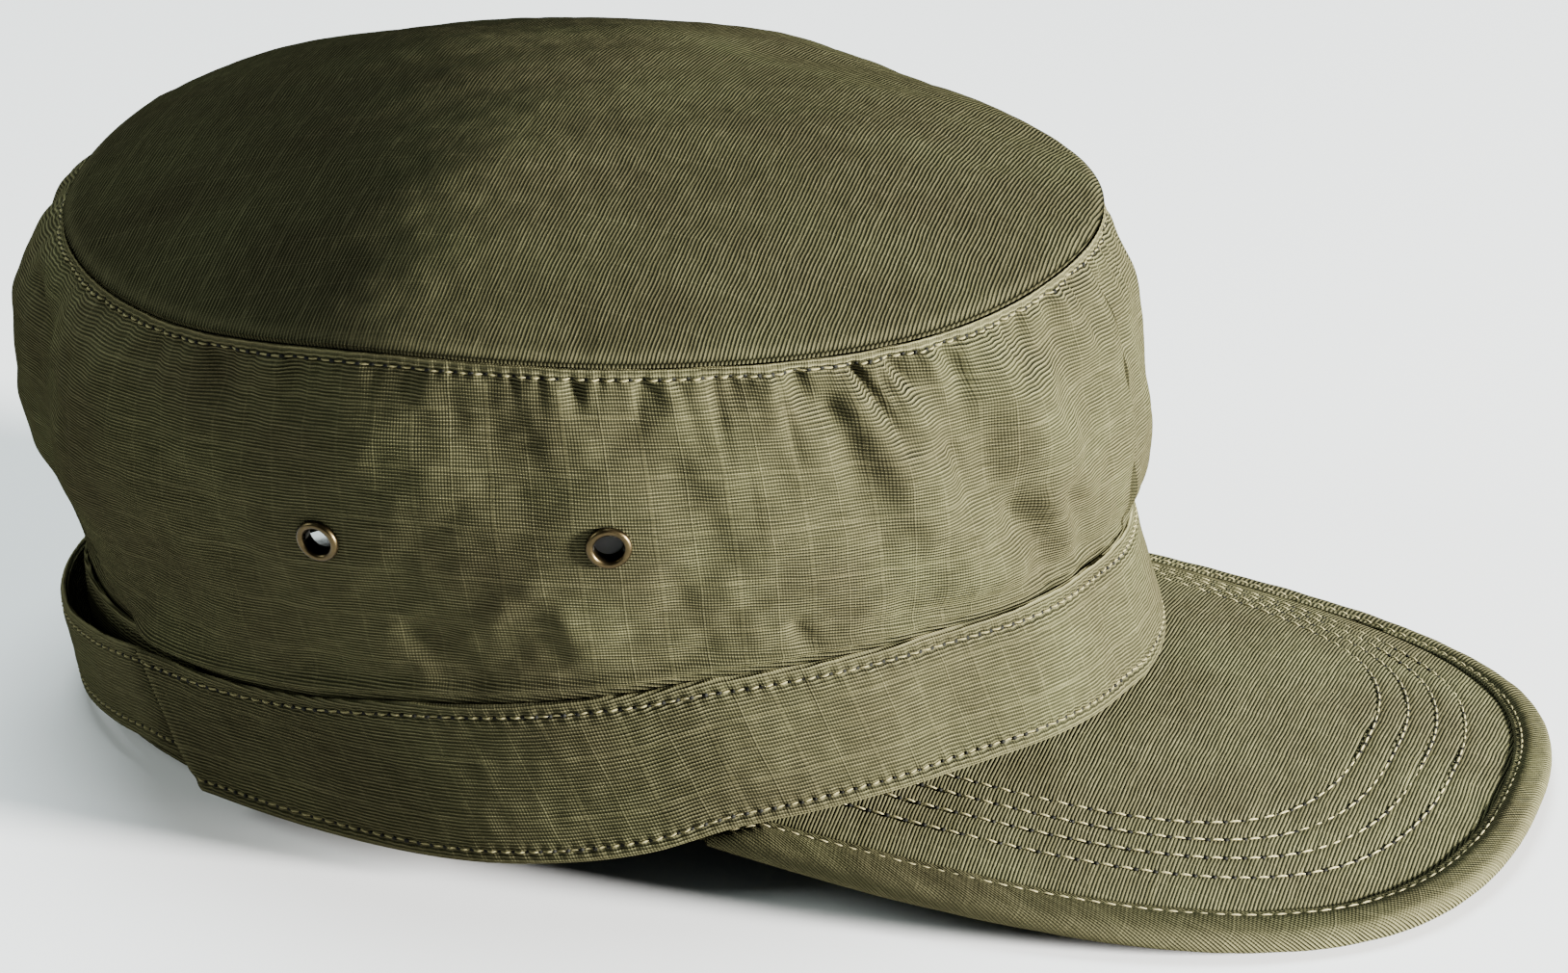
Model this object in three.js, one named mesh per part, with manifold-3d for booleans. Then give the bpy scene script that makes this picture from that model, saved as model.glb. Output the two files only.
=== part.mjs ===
// A soft field cap: round top panel, gathered wall, stitched band, bound peak and rear strap.
// Millimetres, +Z up. The peak points along -Y and the wearer's right side is -X.
// A turn is an angle round the cap in degrees: 0 at the front, 90 at the wearer's right, 180 at the back.

import * as THREE from "three";
import { mergeVertices } from "three/addons/utils/BufferGeometryUtils.js";
import Module from "manifold-3d";

const wasm = await Module();
wasm.setup();

// Driving sizes of the head opening, which is the lower edge of the band
const rimLength = 204.4;
const rimWidth = 167;
const rimLift = 20.4;

// Driving sizes of the band
const bandTopLength = 199.4;
const bandTopWidth = 165.6;
const bandTopSetBack = 4.6;
const bandHeight = 25;
const bandCloth = 1.4;
const slitTurn = 126.3;
const slitSlant = 7.4;
const slitOverlapTurn = 1;

// Driving sizes of the crown
const crownLength = 184.8;
const crownWidth = 187;
const crownSetBack = 5.4;
const crownHeight = 99;
const wallCloth = 1.2;
const topCloth = 1.3;
const seamWander = 5;
const domeRise = 19.3;
const bulgeDepth = 8;
const foldDepth = 3.2;
const foldWidth = 9;
const gatherDepth = 1.3;
const gatherLength = 16;
const topDentDepth = 3;
const domeRoundness = 0.93;
const domeBackRise = 0.13;
const domeBackCurl = 0.09;

// Driving sizes of the back
const rearDrawIn = 4.2;
const strapWidth = 17.5;
const strapCloth = 1.4;
const strapStandOff = 0.9;
const strapLean = 2.4;
const strapTuckTurn = 118;
const strapFootHeight = 3.6;

// Driving sizes of the peak
const peakReach = 70;
const peakCornerTurn = 66;
const peakCornerSpread = 1.6;
const peakTuck = 3;
const peakThickness = 2;
const peakEdgeHeight = -1.2;
const peakFrontHeight = 2.3;
const peakTipHeight = 4.3;
const peakCornerRise = 1.1;
const peakCornerThinning = 0.5;
const bindingCloth = 1;
const bindingDepth = 7.2;
const peakArch = 1.2;

// Driving sizes of the eyelets
const eyeletDiameter = 7.6;
const eyeletBore = 5;
const eyeletMetal = 0.5;
const eyeletCrown = 0.85;
const eyeletRounding = 0.3;
const eyeletSpacing = 50.5;
const eyeletTurn = 82.6;
const eyeletDrop = 0.5;

// Clearances
const gap = 0.3;
const eyeletGap = 0.45;
const tuckLength = 1;
const mouthLift = 1.1;
const peakSeatGap = 0.65;

const radian = Math.PI / 180;

// Height of each edge round the cap, as shares of its named height.
// The left side differs a little from the right, as soft cloth does.
const rimLifts = [
  { turn: 0, share: 1.0 },
  { turn: 30, share: 0.98 },
  { turn: 60, share: 0.7 },
  { turn: 70, share: 0.44 },
  { turn: 80, share: 0.29 },
  { turn: 90, share: 0.225 },
  { turn: 120, share: 0.22 },
  { turn: 150, share: 0.12 },
  { turn: 166, share: 0 },
  { turn: 180, share: 0 },
];
const bandHeights = [
  { turn: 0, share: 0.93 },
  { turn: 30, share: 0.94 },
  { turn: 60, share: 1.035 },
  { turn: 72, share: 1.135 },
  { turn: 90, share: 1.12 },
  { turn: 105, share: 0.98 },
  { turn: 120, share: 0.92 },
  { turn: 150, share: 0.97 },
  { turn: 180, share: 1.1 },
];
const seamHeights = [
  { turn: 0, share: 0.994, inset: 0 },
  { turn: 30, share: 0.985, inset: 0 },
  { turn: 60, share: 1.003, inset: 0 },
  { turn: 90, share: 1.015, inset: 0 },
  { turn: 120, share: 0.978, inset: 0 },
  { turn: 150, share: 0.995, inset: 0.1 },
  { turn: 175, share: 1.035, inset: 1 },
  { turn: 200, share: 1.025, inset: 0.6 },
  { turn: 225, share: 0.985, inset: 0 },
  { turn: 270, share: 1.006, inset: 0 },
  { turn: 300, share: 0.962, inset: 0 },
  { turn: 330, share: 0.976, inset: 0 },
];

// How far the wall stands out from a straight line between seam and band, as shares of bulgeDepth
const bulges = [
  { turn: 0, shoulder: 0.26, upper: 0.62, middle: 0.8, lower: 0.62 },
  { turn: 45, shoulder: 0.22, upper: 0.6, middle: 0.74, lower: 0.42 },
  { turn: 83, shoulder: 0.26, upper: 0.68, middle: 0.84, lower: 0.32 },
  { turn: 120, shoulder: 0.4, upper: 0.9, middle: 0.9, lower: 0.3 },
  { turn: 150, shoulder: 0.6, upper: 1.12, middle: 1.1, lower: 0.3 },
  { turn: 180, shoulder: 0.95, upper: 1.45, middle: 1.15, lower: 0.3 },
];
const bulgeDrops = [0, 0.08, 0.26, 0.56, 0.86, 1];

// How far the back is drawn in behind the strap, as shares of rearDrawIn
const drawIns = [
  { turn: 0, share: 0 },
  { turn: 104, share: 0 },
  { turn: 112, share: 0.35 },
  { turn: 118, share: 0.78 },
  { turn: 123, share: 0.97 },
  { turn: 140, share: 1 },
  { turn: 180, share: 1 },
];

// How far the strap's outer face stands from the band's outer face, as shares of strapStandOff,
// and the height of its lower edge, as shares of strapFootHeight
const standOffs = [
  { turn: 128, share: 0, foot: 1.5 },
  { turn: 138, share: 0.4, foot: 1.22 },
  { turn: 150, share: 0.7, foot: 0.88 },
  { turn: 180, share: 0.5, foot: 0.75 },
];

// Folds of the wall. Drop is the share of the way down from the seam to the band.
// Width and depth are shares of foldWidth and foldDepth, and a negative depth is a valley.
const wallFolds = [
  { turn: 33, drop: 0.12, endTurn: 25, endDrop: 0.62, width: 0.9, depth: -0.9 },
  { turn: 40, drop: 0.08, endTurn: 34, endDrop: 0.5, width: 0.9, depth: 0.7 },
  { turn: 25, drop: 0.08, endTurn: 17, endDrop: 0.55, width: 0.9, depth: 0.7 },
  { turn: 14, drop: 0.1, endTurn: 6, endDrop: 0.7, width: 1.1, depth: -0.6 },
  { turn: 30, drop: 0.62, endTurn: 10, endDrop: 0.98, width: 1.1, depth: -0.6 },
  { turn: 38, drop: 0.6, endTurn: 22, endDrop: 0.98, width: 1.0, depth: 0.5 },
  { turn: 62, drop: 0.1, endTurn: 56, endDrop: 0.7, width: 1.5, depth: -0.45 },
  { turn: 108, drop: 0.1, endTurn: 104, endDrop: 0.8, width: 1.8, depth: -0.5 },
  { turn: 128, drop: 0.2, endTurn: 134, endDrop: 0.95, width: 1.3, depth: 0.6 },
  { turn: 143, drop: 0.15, endTurn: 147, endDrop: 0.95, width: 1.0, depth: -1.0 },
  { turn: 156, drop: 0.2, endTurn: 158, endDrop: 0.95, width: 1.1, depth: 0.6 },
  { turn: 176, drop: 0.15, endTurn: 178, endDrop: 0.95, width: 1.2, depth: -0.8 },
  { turn: 200, drop: 0.15, endTurn: 203, endDrop: 0.95, width: 1.1, depth: 0.6 },
  { turn: 217, drop: 0.15, endTurn: 213, endDrop: 0.95, width: 1.0, depth: -1.0 },
  { turn: 238, drop: 0.2, endTurn: 228, endDrop: 0.95, width: 1.5, depth: 0.6 },
  { turn: 300, drop: 0.1, endTurn: 306, endDrop: 0.75, width: 1.4, depth: -0.6 },
  { turn: 330, drop: 0.1, endTurn: 338, endDrop: 0.6, width: 1.1, depth: -0.7 },
];

// Gathers just under the seam. Length and depth are shares of gatherLength and gatherDepth.
const gathers = [
  { turn: 4, length: 0.8, depth: 0.9 },
  { turn: 12, length: 1.2, depth: 1.0 },
  { turn: 20, length: 1.0, depth: 1.0 },
  { turn: 28, length: 1.4, depth: 1.2 },
  { turn: 36, length: 1.2, depth: 1.0 },
  { turn: 45, length: 1.0, depth: 1.0 },
  { turn: 56, length: 0.8, depth: 0.8 },
  { turn: 66, length: 1.0, depth: 0.7 },
  { turn: 77, length: 0.8, depth: 0.7 },
  { turn: 88, length: 0.7, depth: 0.6 },
  { turn: 98, length: 1.0, depth: 0.9 },
  { turn: 108, length: 0.9, depth: 0.8 },
  { turn: 118, length: 1.3, depth: 0.8 },
  { turn: 128, length: 1.0, depth: 0.7 },
  { turn: 140, length: 1.4, depth: 0.9 },
  { turn: 152, length: 1.0, depth: 0.8 },
  { turn: 164, length: 1.2, depth: 0.9 },
  { turn: 176, length: 1.0, depth: 0.8 },
  { turn: 188, length: 1.3, depth: 1.0 },
  { turn: 201, length: 1.0, depth: 0.8 },
  { turn: 213, length: 0.9, depth: 0.9 },
  { turn: 226, length: 1.2, depth: 0.8 },
  { turn: 238, length: 0.8, depth: 0.9 },
  { turn: 250, length: 1.0, depth: 0.7 },
  { turn: 263, length: 0.8, depth: 0.8 },
  { turn: 275, length: 1.0, depth: 0.7 },
  { turn: 288, length: 0.9, depth: 0.9 },
  { turn: 300, length: 1.2, depth: 0.9 },
  { turn: 312, length: 1.0, depth: 1.0 },
  { turn: 325, length: 1.2, depth: 0.9 },
  { turn: 337, length: 1.0, depth: 1.0 },
  { turn: 349, length: 1.1, depth: 0.9 },
];
const gatherHalfTurn = 2.6;

// Dents and swells of the top panel. Reach is the share of the way from the middle to the seam.
// Width is a share of crownWidth and depth a share of topDentDepth.
const topDents = [
  { turn: 150, reach: 0.62, width: 0.16, depth: -0.8 },
  { turn: 92, reach: 0.45, width: 0.18, depth: 0.5 },
  { turn: 50, reach: 0.5, width: 0.16, depth: -0.5 },
  { turn: 12, reach: 0.7, width: 0.14, depth: 0.6 },
  { turn: 345, reach: 0.85, width: 0.1, depth: -0.9 },
  { turn: 280, reach: 0.5, width: 0.18, depth: -0.5 },
  { turn: 215, reach: 0.55, width: 0.17, depth: 0.6 },
];

// Dents of the band. Width and depth are shares of foldWidth and foldDepth.
const bandDents = [
  { turn: 8, width: 0.9, depth: -0.35 },
  { turn: 22, width: 1.0, depth: 0.25 },
  { turn: 36, width: 1.1, depth: -0.35 },
  { turn: 58, width: 1.6, depth: 0.25 },
  { turn: 105, width: 1.6, depth: -0.25 },
  { turn: 255, width: 1.6, depth: -0.25 },
  { turn: 322, width: 1.2, depth: -0.35 },
];

// Shares that shape the folds: how much of a fold is left at its ends, where folds and gathers
// begin and end on the way down the wall, and how fast a gather fades
const foldEndShare = 0.55;
const foldStart = 0.16;
const foldStop = 0.88;
const gatherStart = 0.05;
const gatherFade = 1.4;
const dentEdgeShare = 0.15;

// The wall lies flat within the first share of an eyelet's diameter and is folded past the second
const calmReach = [0.9, 2.4];

// Shape of the peak's outer edge: how far its side bows past the corner, and where the side and the
// front let go of the curve, as shares of the reach and the half width
const peakSideBow = 1.125;
const peakSideShare = 0.79;
const peakFrontShare = 0.74;
const cornerSharpness = 14;
const bindingEnd = 0.98;

// Shape of the folded binding, as shares of its cloth and its half height
const bindingNose = 0.9;
const bindingFlat = 0.45;

// Grid counts of the meshes
const wallColumns = 112;
const topColumns = 96;
const bandColumns = 84;
const backColumns = 26;
const strapColumns = 34;
const peakColumns = 38;
const holeSides = 14;
const eyeletSides = 12;
const drillLength = 10;
const peakShares = [0, 0.12, 0.35, 0.65, 1];
const wallDrops = [0, 0.05, 0.12, 0.22, 0.35, 0.5, 0.66, 0.83, 1];
const topReaches = [1, 0.93, 0.8, 0.6, 0.32, 0];
const tuckDrops = [1.5, 2];
const bandDrops = [0, 0.5, 1];
const weldDistance = 1e-4;

// Steps over which the direction of each surface is taken, as turn or share of the way
const clothStep = { turn: 0.5, drop: 0.004 };
const topStep = { turn: 0.5, reach: 0.01 };
const topEdgeShare = 0.985;
const bandStep = { share: 0.005, drop: 0.01 };
const eyeletStep = { turn: 1.5, drop: 0.05 };
const peakStep = 0.01;

// Smooth value of a column of a table round the cap, mirrored when the rows stop at the back
function tableValue(rows, column, turn) {
  const mirrored = rows[rows.length - 1].turn === 180;
  const whole = ((turn % 360) + 360) % 360;
  const place = mirrored && whole > 180 ? 360 - whole : whole;
  const count = rows.length;
  const pick = (index) => {
    if (mirrored) {
      const folded = index < 0 ? -index : index >= count ? 2 * (count - 1) - index : index;
      const row = rows[Math.min(Math.max(folded, 0), count - 1)];
      const side = index < 0 ? -row.turn : index >= count ? 360 - row.turn : row.turn;
      return { turn: side, value: row[column] };
    }
    const row = rows[(index + count) % count];
    const lap = index < 0 ? -360 : index >= count ? 360 : 0;
    return { turn: row.turn + lap, value: row[column] };
  };
  let index = 0;
  while (index < count - 1 && pick(index + 1).turn <= place) {
    index += 1;
  }
  return cubicValue(pick(index - 1), pick(index), pick(index + 1), pick(index + 2), place);
}

// Cubic through two middle points, with slopes from their neighbours
function cubicValue(before, start, end, after, place) {
  const span = end.turn - start.turn || 1;
  const share = Math.min(Math.max((place - start.turn) / span, 0), 1);
  const slopeStart = ((end.value - before.value) / (end.turn - before.turn || 1)) * span;
  const slopeEnd = ((after.value - start.value) / (after.turn - start.turn || 1)) * span;
  const square = share * share;
  const cube = square * share;
  return (
    (2 * cube - 3 * square + 1) * start.value +
    (cube - 2 * square + share) * slopeStart +
    (3 * square - 2 * cube) * end.value +
    (cube - square) * slopeEnd
  );
}

// A smooth step from 0 to 1 between two places
function smoothStep(from, to, place) {
  const share = Math.min(Math.max((place - from) / (to - from), 0), 1);
  return share * share * (3 - 2 * share);
}

// Shortest difference between two turns, in degrees
function turnBetween(first, second) {
  return ((((first - second) % 360) + 540) % 360) - 180;
}

// Point on an oval loop at a turn, pushed out by an offset along the loop's outward direction
function ovalPoint(length, width, setBack, height, turn, offset) {
  const angle = turn * radian;
  const outward = new THREE.Vector3(-Math.sin(angle) / width, -Math.cos(angle) / length, 0).normalize();
  const x = (-width / 2) * Math.sin(angle);
  const y = (-length / 2) * Math.cos(angle) + setBack;
  return new THREE.Vector3(x, y, height).addScaledVector(outward, offset);
}

// How far the band is dented at a turn
function bandDent(turn) {
  const halfLap = (Math.PI * (rimLength + rimWidth)) / 720;
  let depth = 0;
  for (const dent of bandDents) {
    const away = (turnBetween(turn, dent.turn) * halfLap) / (dent.width * foldWidth);
    depth += dent.depth * foldDepth * Math.exp(-away * away);
  }
  return depth;
}

// Heights of the three edges at a turn
function rimHeight(turn) {
  return rimLift * Math.max(tableValue(rimLifts, "share", turn), 0);
}

function bandTopHeight(turn) {
  return rimHeight(turn) + bandHeight * tableValue(bandHeights, "share", turn);
}

function seamHeight(turn) {
  return crownHeight * tableValue(seamHeights, "share", turn);
}

function drawIn(turn) {
  return rearDrawIn * Math.max(tableValue(drawIns, "share", turn), 0);
}

// Point of the band's outer face: rise is 0 at the lower edge and 1 at the upper edge
function bandPoint(turn, rise, offset) {
  const between = Math.min(Math.max(rise, 0), 1);
  const dent = bandDent(turn) * Math.sin(Math.PI * (dentEdgeShare + (1 - 2 * dentEdgeShare) * between));
  const low = ovalPoint(rimLength, rimWidth, 0, rimHeight(turn), turn, offset + dent);
  const top = bandTopHeight(turn);
  const high = ovalPoint(bandTopLength, bandTopWidth, bandTopSetBack, top, turn, offset + dent);
  return low.lerp(high, rise);
}

// Point of the seam between wall and top panel
function seamPoint(turn, offset, lift) {
  const inset = seamWander * tableValue(seamHeights, "inset", turn);
  return ovalPoint(crownLength, crownWidth, crownSetBack, seamHeight(turn) + lift, turn, offset - inset);
}

// The wall hangs inside the band, and is drawn in further behind the strap
function wallTuckOffset(turn) {
  return -bandCloth - gap - drawIn(turn);
}

// Turns of the two eyelets of the right side, and of their mirror images
function eyeletTurns() {
  const radius = (crownLength + bandTopLength) / 4 + bulgeDepth;
  const halfTurn = eyeletSpacing / 2 / radius / radian;
  return [
    { name: "eyelet_right_front", turn: eyeletTurn - halfTurn },
    { name: "eyelet_right_rear", turn: eyeletTurn + halfTurn },
    { name: "eyelet_left_front", turn: 360 - eyeletTurn + halfTurn },
    { name: "eyelet_left_rear", turn: 360 - eyeletTurn - halfTurn },
  ];
}

// Distances on the wall: along it for a turn, and down it for a drop
function wallLap(turn) {
  return (turn * radian * (crownWidth + bandTopLength)) / 4;
}

function wallFall(turn, drop) {
  return drop * (seamHeight(turn) - bandTopHeight(turn));
}

// The wall is smooth round each eyelet, so that the metal lies flat on it
function calmNearEyelets(turn, drop) {
  let calm = 1;
  for (const eyelet of eyeletTurns()) {
    const across = wallLap(turnBetween(turn, eyelet.turn));
    const along = wallFall(turn, drop - eyeletDrop);
    const [start, end] = calmReach.map((share) => share * eyeletDiameter);
    calm *= smoothStep(start, end, Math.hypot(across, along));
  }
  return calm;
}

// Folds and gathers of the wall, added along its outward direction
function wallFold(turn, drop) {
  let depth = 0;
  for (const fold of wallFolds) {
    const across = wallLap(turnBetween(turn, fold.turn));
    const along = wallFall(turn, drop - fold.drop);
    const runAcross = wallLap(turnBetween(fold.endTurn, fold.turn));
    const runAlong = wallFall(turn, fold.endDrop - fold.drop);
    const runSquare = runAcross * runAcross + runAlong * runAlong;
    const share = Math.min(Math.max((across * runAcross + along * runAlong) / runSquare, 0), 1);
    const away = Math.hypot(across - share * runAcross, along - share * runAlong);
    const reach = away / (fold.width * foldWidth);
    const swell = foldEndShare + (1 - foldEndShare) * Math.sin(Math.PI * share);
    depth += fold.depth * foldDepth * Math.exp(-reach * reach) * swell;
  }
  const fade = smoothStep(0, foldStart, drop) * (1 - smoothStep(foldStop, 1, drop));
  return (depth * fade + gatherDepthAt(turn, drop)) * calmNearEyelets(turn, drop);
}

// Gathers run down from the seam as shallow valleys
function gatherDepthAt(turn, drop) {
  let depth = 0;
  const fall = wallFall(turn, drop);
  for (const gather of gathers) {
    const away = turnBetween(turn, gather.turn) / gatherHalfTurn;
    const share = fall / (gather.length * gatherLength);
    const fade = Math.exp(-share * share * gatherFade) * smoothStep(0, gatherStart, drop);
    depth -= gather.depth * gatherDepth * Math.exp(-away * away) * fade;
  }
  return depth;
}

// Wall bulge at a turn and drop
function wallBulge(turn, drop) {
  const values = [
    0,
    tableValue(bulges, "shoulder", turn),
    tableValue(bulges, "upper", turn),
    tableValue(bulges, "middle", turn),
    tableValue(bulges, "lower", turn),
    0,
  ];
  const points = bulgeDrops.map((place, index) => ({ turn: place, value: values[index] }));
  let index = 0;
  while (index < points.length - 2 && points[index + 1].turn <= drop) {
    index += 1;
  }
  const before = points[index - 1] ?? { turn: -points[1].turn, value: -points[1].value };
  const last = points.length - 1;
  const after = points[index + 2] ?? { turn: 2 - points[last - 1].turn, value: -points[last - 1].value };
  return bulgeDepth * cubicValue(before, points[index], points[index + 1], after, drop);
}

// Point of the wall's outer face: drop is 0 at the seam, 1 at the top of the band, and past 1 inside it
function wallPoint(turn, drop) {
  const tuck = wallTuckOffset(turn);
  const seamDrop = topCloth + 2 * gap;
  const foot = tuckLength / bandHeight;
  const mouth = 1 + mouthLift / bandHeight;
  if (drop > 1) {
    return bandPoint(turn, foot + (mouth - foot) * (2 - drop), tuck);
  }
  const high = seamPoint(turn, 0, -seamDrop);
  const low = bandPoint(turn, mouth, tuck);
  const angle = turn * radian;
  const outward = new THREE.Vector3(-Math.sin(angle), -Math.cos(angle), 0);
  const point = high.lerp(low, drop);
  return point.addScaledVector(outward, wallBulge(turn, drop) + wallFold(turn, drop));
}

// Point of the top panel's upper face: reach is 1 at the seam and 0 in the middle
function topPoint(turn, reach) {
  const edge = seamPoint(turn, 0, 0);
  const middle = new THREE.Vector3(0, crownSetBack, crownHeight);
  const point = new THREE.Vector3().lerpVectors(middle, edge, reach);
  point.z = crownHeight + (edge.z - crownHeight) * reach * reach;
  const back = (point.y - crownSetBack) / (crownLength / 2);
  const swell = Math.pow(Math.max(1 - reach * reach, 0), domeRoundness);
  let rise = domeRise * (1 + domeBackRise * back + domeBackCurl * back * back);
  for (const dent of topDents) {
    const at = seamPoint(dent.turn, 0, 0);
    const away = Math.hypot(
      point.x - at.x * dent.reach,
      point.y - crownSetBack - (at.y - crownSetBack) * dent.reach,
    );
    const share = away / (dent.width * crownWidth);
    rise += dent.depth * topDentDepth * Math.exp(-share * share);
  }
  point.z += rise * swell;
  return point;
}

// Places along the peak run from -1 at the wearer's left corner to 1 at the right corner.
// Near its corners the peak rises and thins, so that it slips in under the band.
function cornerShare(place) {
  return Math.pow(Math.abs(place), cornerSharpness);
}

// Line along which the peak is sewn in, just inside the band's lower edge
function peakRoot(place) {
  const turn = place * peakCornerTurn;
  const point = bandPoint(turn, 0, -bandCloth - gap - peakTuck);
  point.z = rimHeight(turn) - peakThickness / 2 - peakSeatGap + peakCornerRise * cornerShare(place);
  return point;
}

// The peak's outer edge is a cubic curve from each corner to the middle of the front
function peakEdge(place) {
  const corner = bandPoint(peakCornerTurn, 0, peakCornerSpread - bandCloth - gap - peakTuck);
  const tipY = -rimLength / 2 - peakReach;
  const sideY = corner.y + peakSideShare * (tipY - corner.y);
  const start = new THREE.Vector3(corner.x, corner.y, peakRoot(1).z);
  const bend = new THREE.Vector3(corner.x * peakSideBow, sideY, peakEdgeHeight);
  const front = new THREE.Vector3(corner.x * peakFrontShare, tipY, peakFrontHeight);
  const tip = new THREE.Vector3(0, tipY, peakTipHeight);
  const curve = new THREE.CubicBezierCurve3(start, bend, front, tip);
  const point = curve.getPointAt(1 - Math.abs(place));
  if (place < 0) {
    point.x = -point.x;
  }
  return point;
}

// Frame of the peak at a place: its edge point, the line in to the band, and up through the thickness
function peakFrame(place) {
  const root = peakRoot(place);
  const edge = peakEdge(place);
  const from = peakEdge(Math.max(place - peakStep, -1));
  const to = peakEdge(Math.min(place + peakStep, 1));
  const along = to.sub(from).normalize();
  const run = root.distanceTo(edge);
  const inward = root.clone().sub(edge).normalize();
  const slant = along.clone().cross(inward);
  const slantShare = slant.length();
  const up = slant.normalize();
  if (up.z < 0) {
    up.negate();
  }
  const thinning = 1 - peakCornerThinning * cornerShare(place);
  return { edge, inward, run, up, slantShare, thinning, place };
}

// Point of the peak at a distance in from its edge, measured square to the edge, and a height through it
function peakPoint(frame, inset, height) {
  const distance = inset / frame.slantShare;
  const arch = peakArch * Math.sin((Math.PI * distance) / frame.run) * (1 - frame.place * frame.place);
  const point = frame.edge.clone().addScaledVector(frame.inward, distance);
  point.z += arch;
  return point.addScaledVector(frame.up, height * frame.thinning);
}

// Unit normal of a surface given by a function of two values, pointing to the outer side
function surfaceNormal(surface, first, second, firstStep, secondStep) {
  const along = surface(first + firstStep, second).sub(surface(first - firstStep, second));
  const across = surface(first, second + secondStep).sub(surface(first, second - secondStep));
  return along.cross(across).normalize();
}

// A closed body from sections that each hold an outer run and an inner run of points
function loftSections(sections, closed) {
  const size = sections[0].length;
  const positions = [];
  for (const section of sections) {
    for (const point of section) {
      positions.push(point.x, point.y, point.z);
    }
  }
  const triangles = [];
  const spans = closed ? sections.length : sections.length - 1;
  for (let i = 0; i < spans; i += 1) {
    const next = (i + 1) % sections.length;
    for (let j = 0; j < size; j += 1) {
      const a = i * size + j;
      const b = i * size + ((j + 1) % size);
      const c = next * size + ((j + 1) % size);
      const d = next * size + j;
      triangles.push(a, b, c, a, c, d);
    }
  }
  if (!closed) {
    const last = (sections.length - 1) * size;
    for (let j = 0; j < size / 2 - 1; j += 1) {
      const k = size - 1 - j;
      triangles.push(j, k - 1, j + 1, j, k, k - 1);
      triangles.push(last + j, last + j + 1, last + k - 1, last + j, last + k - 1, last + k);
    }
  }
  return closedGeometry(positions, triangles);
}

// Merged vertices, no empty triangles and faces that point out
function closedGeometry(positions, triangles) {
  const loose = new THREE.BufferGeometry();
  loose.setAttribute("position", new THREE.Float32BufferAttribute(positions, 3));
  loose.setIndex(triangles);
  const merged = mergeVertices(loose, weldDistance);
  const index = merged.getIndex().array;
  const kept = [];
  for (let i = 0; i < index.length; i += 3) {
    const [a, b, c] = [index[i], index[i + 1], index[i + 2]];
    if (a !== b && b !== c && c !== a) {
      kept.push(a, b, c);
    }
  }
  if (signedVolume(merged, kept) < 0) {
    for (let i = 0; i < kept.length; i += 3) {
      [kept[i + 1], kept[i + 2]] = [kept[i + 2], kept[i + 1]];
    }
  }
  merged.setIndex(kept);
  return merged;
}

// Volume inside a mesh, negative where its faces point in
function signedVolume(geometry, index) {
  const place = geometry.getAttribute("position");
  const [a, b, c] = [new THREE.Vector3(), new THREE.Vector3(), new THREE.Vector3()];
  let volume = 0;
  for (let i = 0; i < index.length; i += 3) {
    a.fromBufferAttribute(place, index[i]);
    b.fromBufferAttribute(place, index[i + 1]);
    c.fromBufferAttribute(place, index[i + 2]);
    volume += a.dot(b.cross(c)) / 6;
  }
  return volume;
}

// Evenly spaced values from one end to the other
function spread(from, to, count) {
  return Array.from({ length: count + 1 }, (unused, index) => from + ((to - from) * index) / count);
}

// A sheet of cloth whose outer face is a surface of turn and drop, with its thickness inwards
function clothBody(surface, thickness, turns, drops, closed) {
  const sections = turns.map((turn) => {
    const outer = drops.map((drop) => surface(turn, drop));
    const inner = drops.map((drop, index) => {
      const normal = surfaceNormal(surface, turn, drop, clothStep.turn, clothStep.drop);
      return outer[index].clone().addScaledVector(normal, -thickness);
    });
    return [...outer, ...inner.reverse()];
  });
  return loftSections(sections, closed);
}

// Geometry to solid and back, for cutting holes
function toSolid(geometry) {
  const plain = geometry.clone();
  plain.deleteAttribute("normal");
  plain.deleteAttribute("uv");
  const merged = mergeVertices(plain, weldDistance);
  const vertProperties = new Float32Array(merged.getAttribute("position").array);
  const triVerts = new Uint32Array(merged.getIndex().array);
  return new wasm.Manifold(new wasm.Mesh({ numProp: 3, vertProperties, triVerts }));
}

function toGeometry(solid) {
  const mesh = solid.getMesh();
  const geometry = new THREE.BufferGeometry();
  geometry.setAttribute("position", new THREE.Float32BufferAttribute(mesh.vertProperties, 3));
  geometry.setIndex(Array.from(mesh.triVerts));
  return geometry;
}

// Place and direction of an eyelet: its axis is the wall's outward normal there
function eyeletSeat(turn) {
  const point = wallPoint(turn, eyeletDrop);
  const normal = surfaceNormal(wallPoint, turn, eyeletDrop, eyeletStep.turn, eyeletStep.drop);
  const outward = new THREE.Vector3(point.x, point.y - crownSetBack, 0);
  if (normal.dot(outward) < 0) {
    normal.negate();
  }
  const turnTo = new THREE.Quaternion().setFromUnitVectors(new THREE.Vector3(0, 1, 0), normal);
  return { point, turnTo };
}

// Wall of the crown, with a hole for each eyelet
function crownWall() {
  const turns = spread(0, 360, wallColumns).slice(0, wallColumns);
  const drops = [...wallDrops, ...tuckDrops];
  let solid = toSolid(clothBody(wallPoint, wallCloth, turns, drops, true));
  const holeRadius = eyeletBore / 2 + eyeletMetal + gap;
  for (const eyelet of eyeletTurns()) {
    const seat = eyeletSeat(eyelet.turn);
    const drill = new THREE.CylinderGeometry(holeRadius, holeRadius, drillLength, holeSides);
    drill.applyQuaternion(seat.turnTo);
    drill.translate(seat.point.x, seat.point.y, seat.point.z);
    solid = solid.subtract(toSolid(drill));
  }
  return toGeometry(solid);
}

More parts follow.
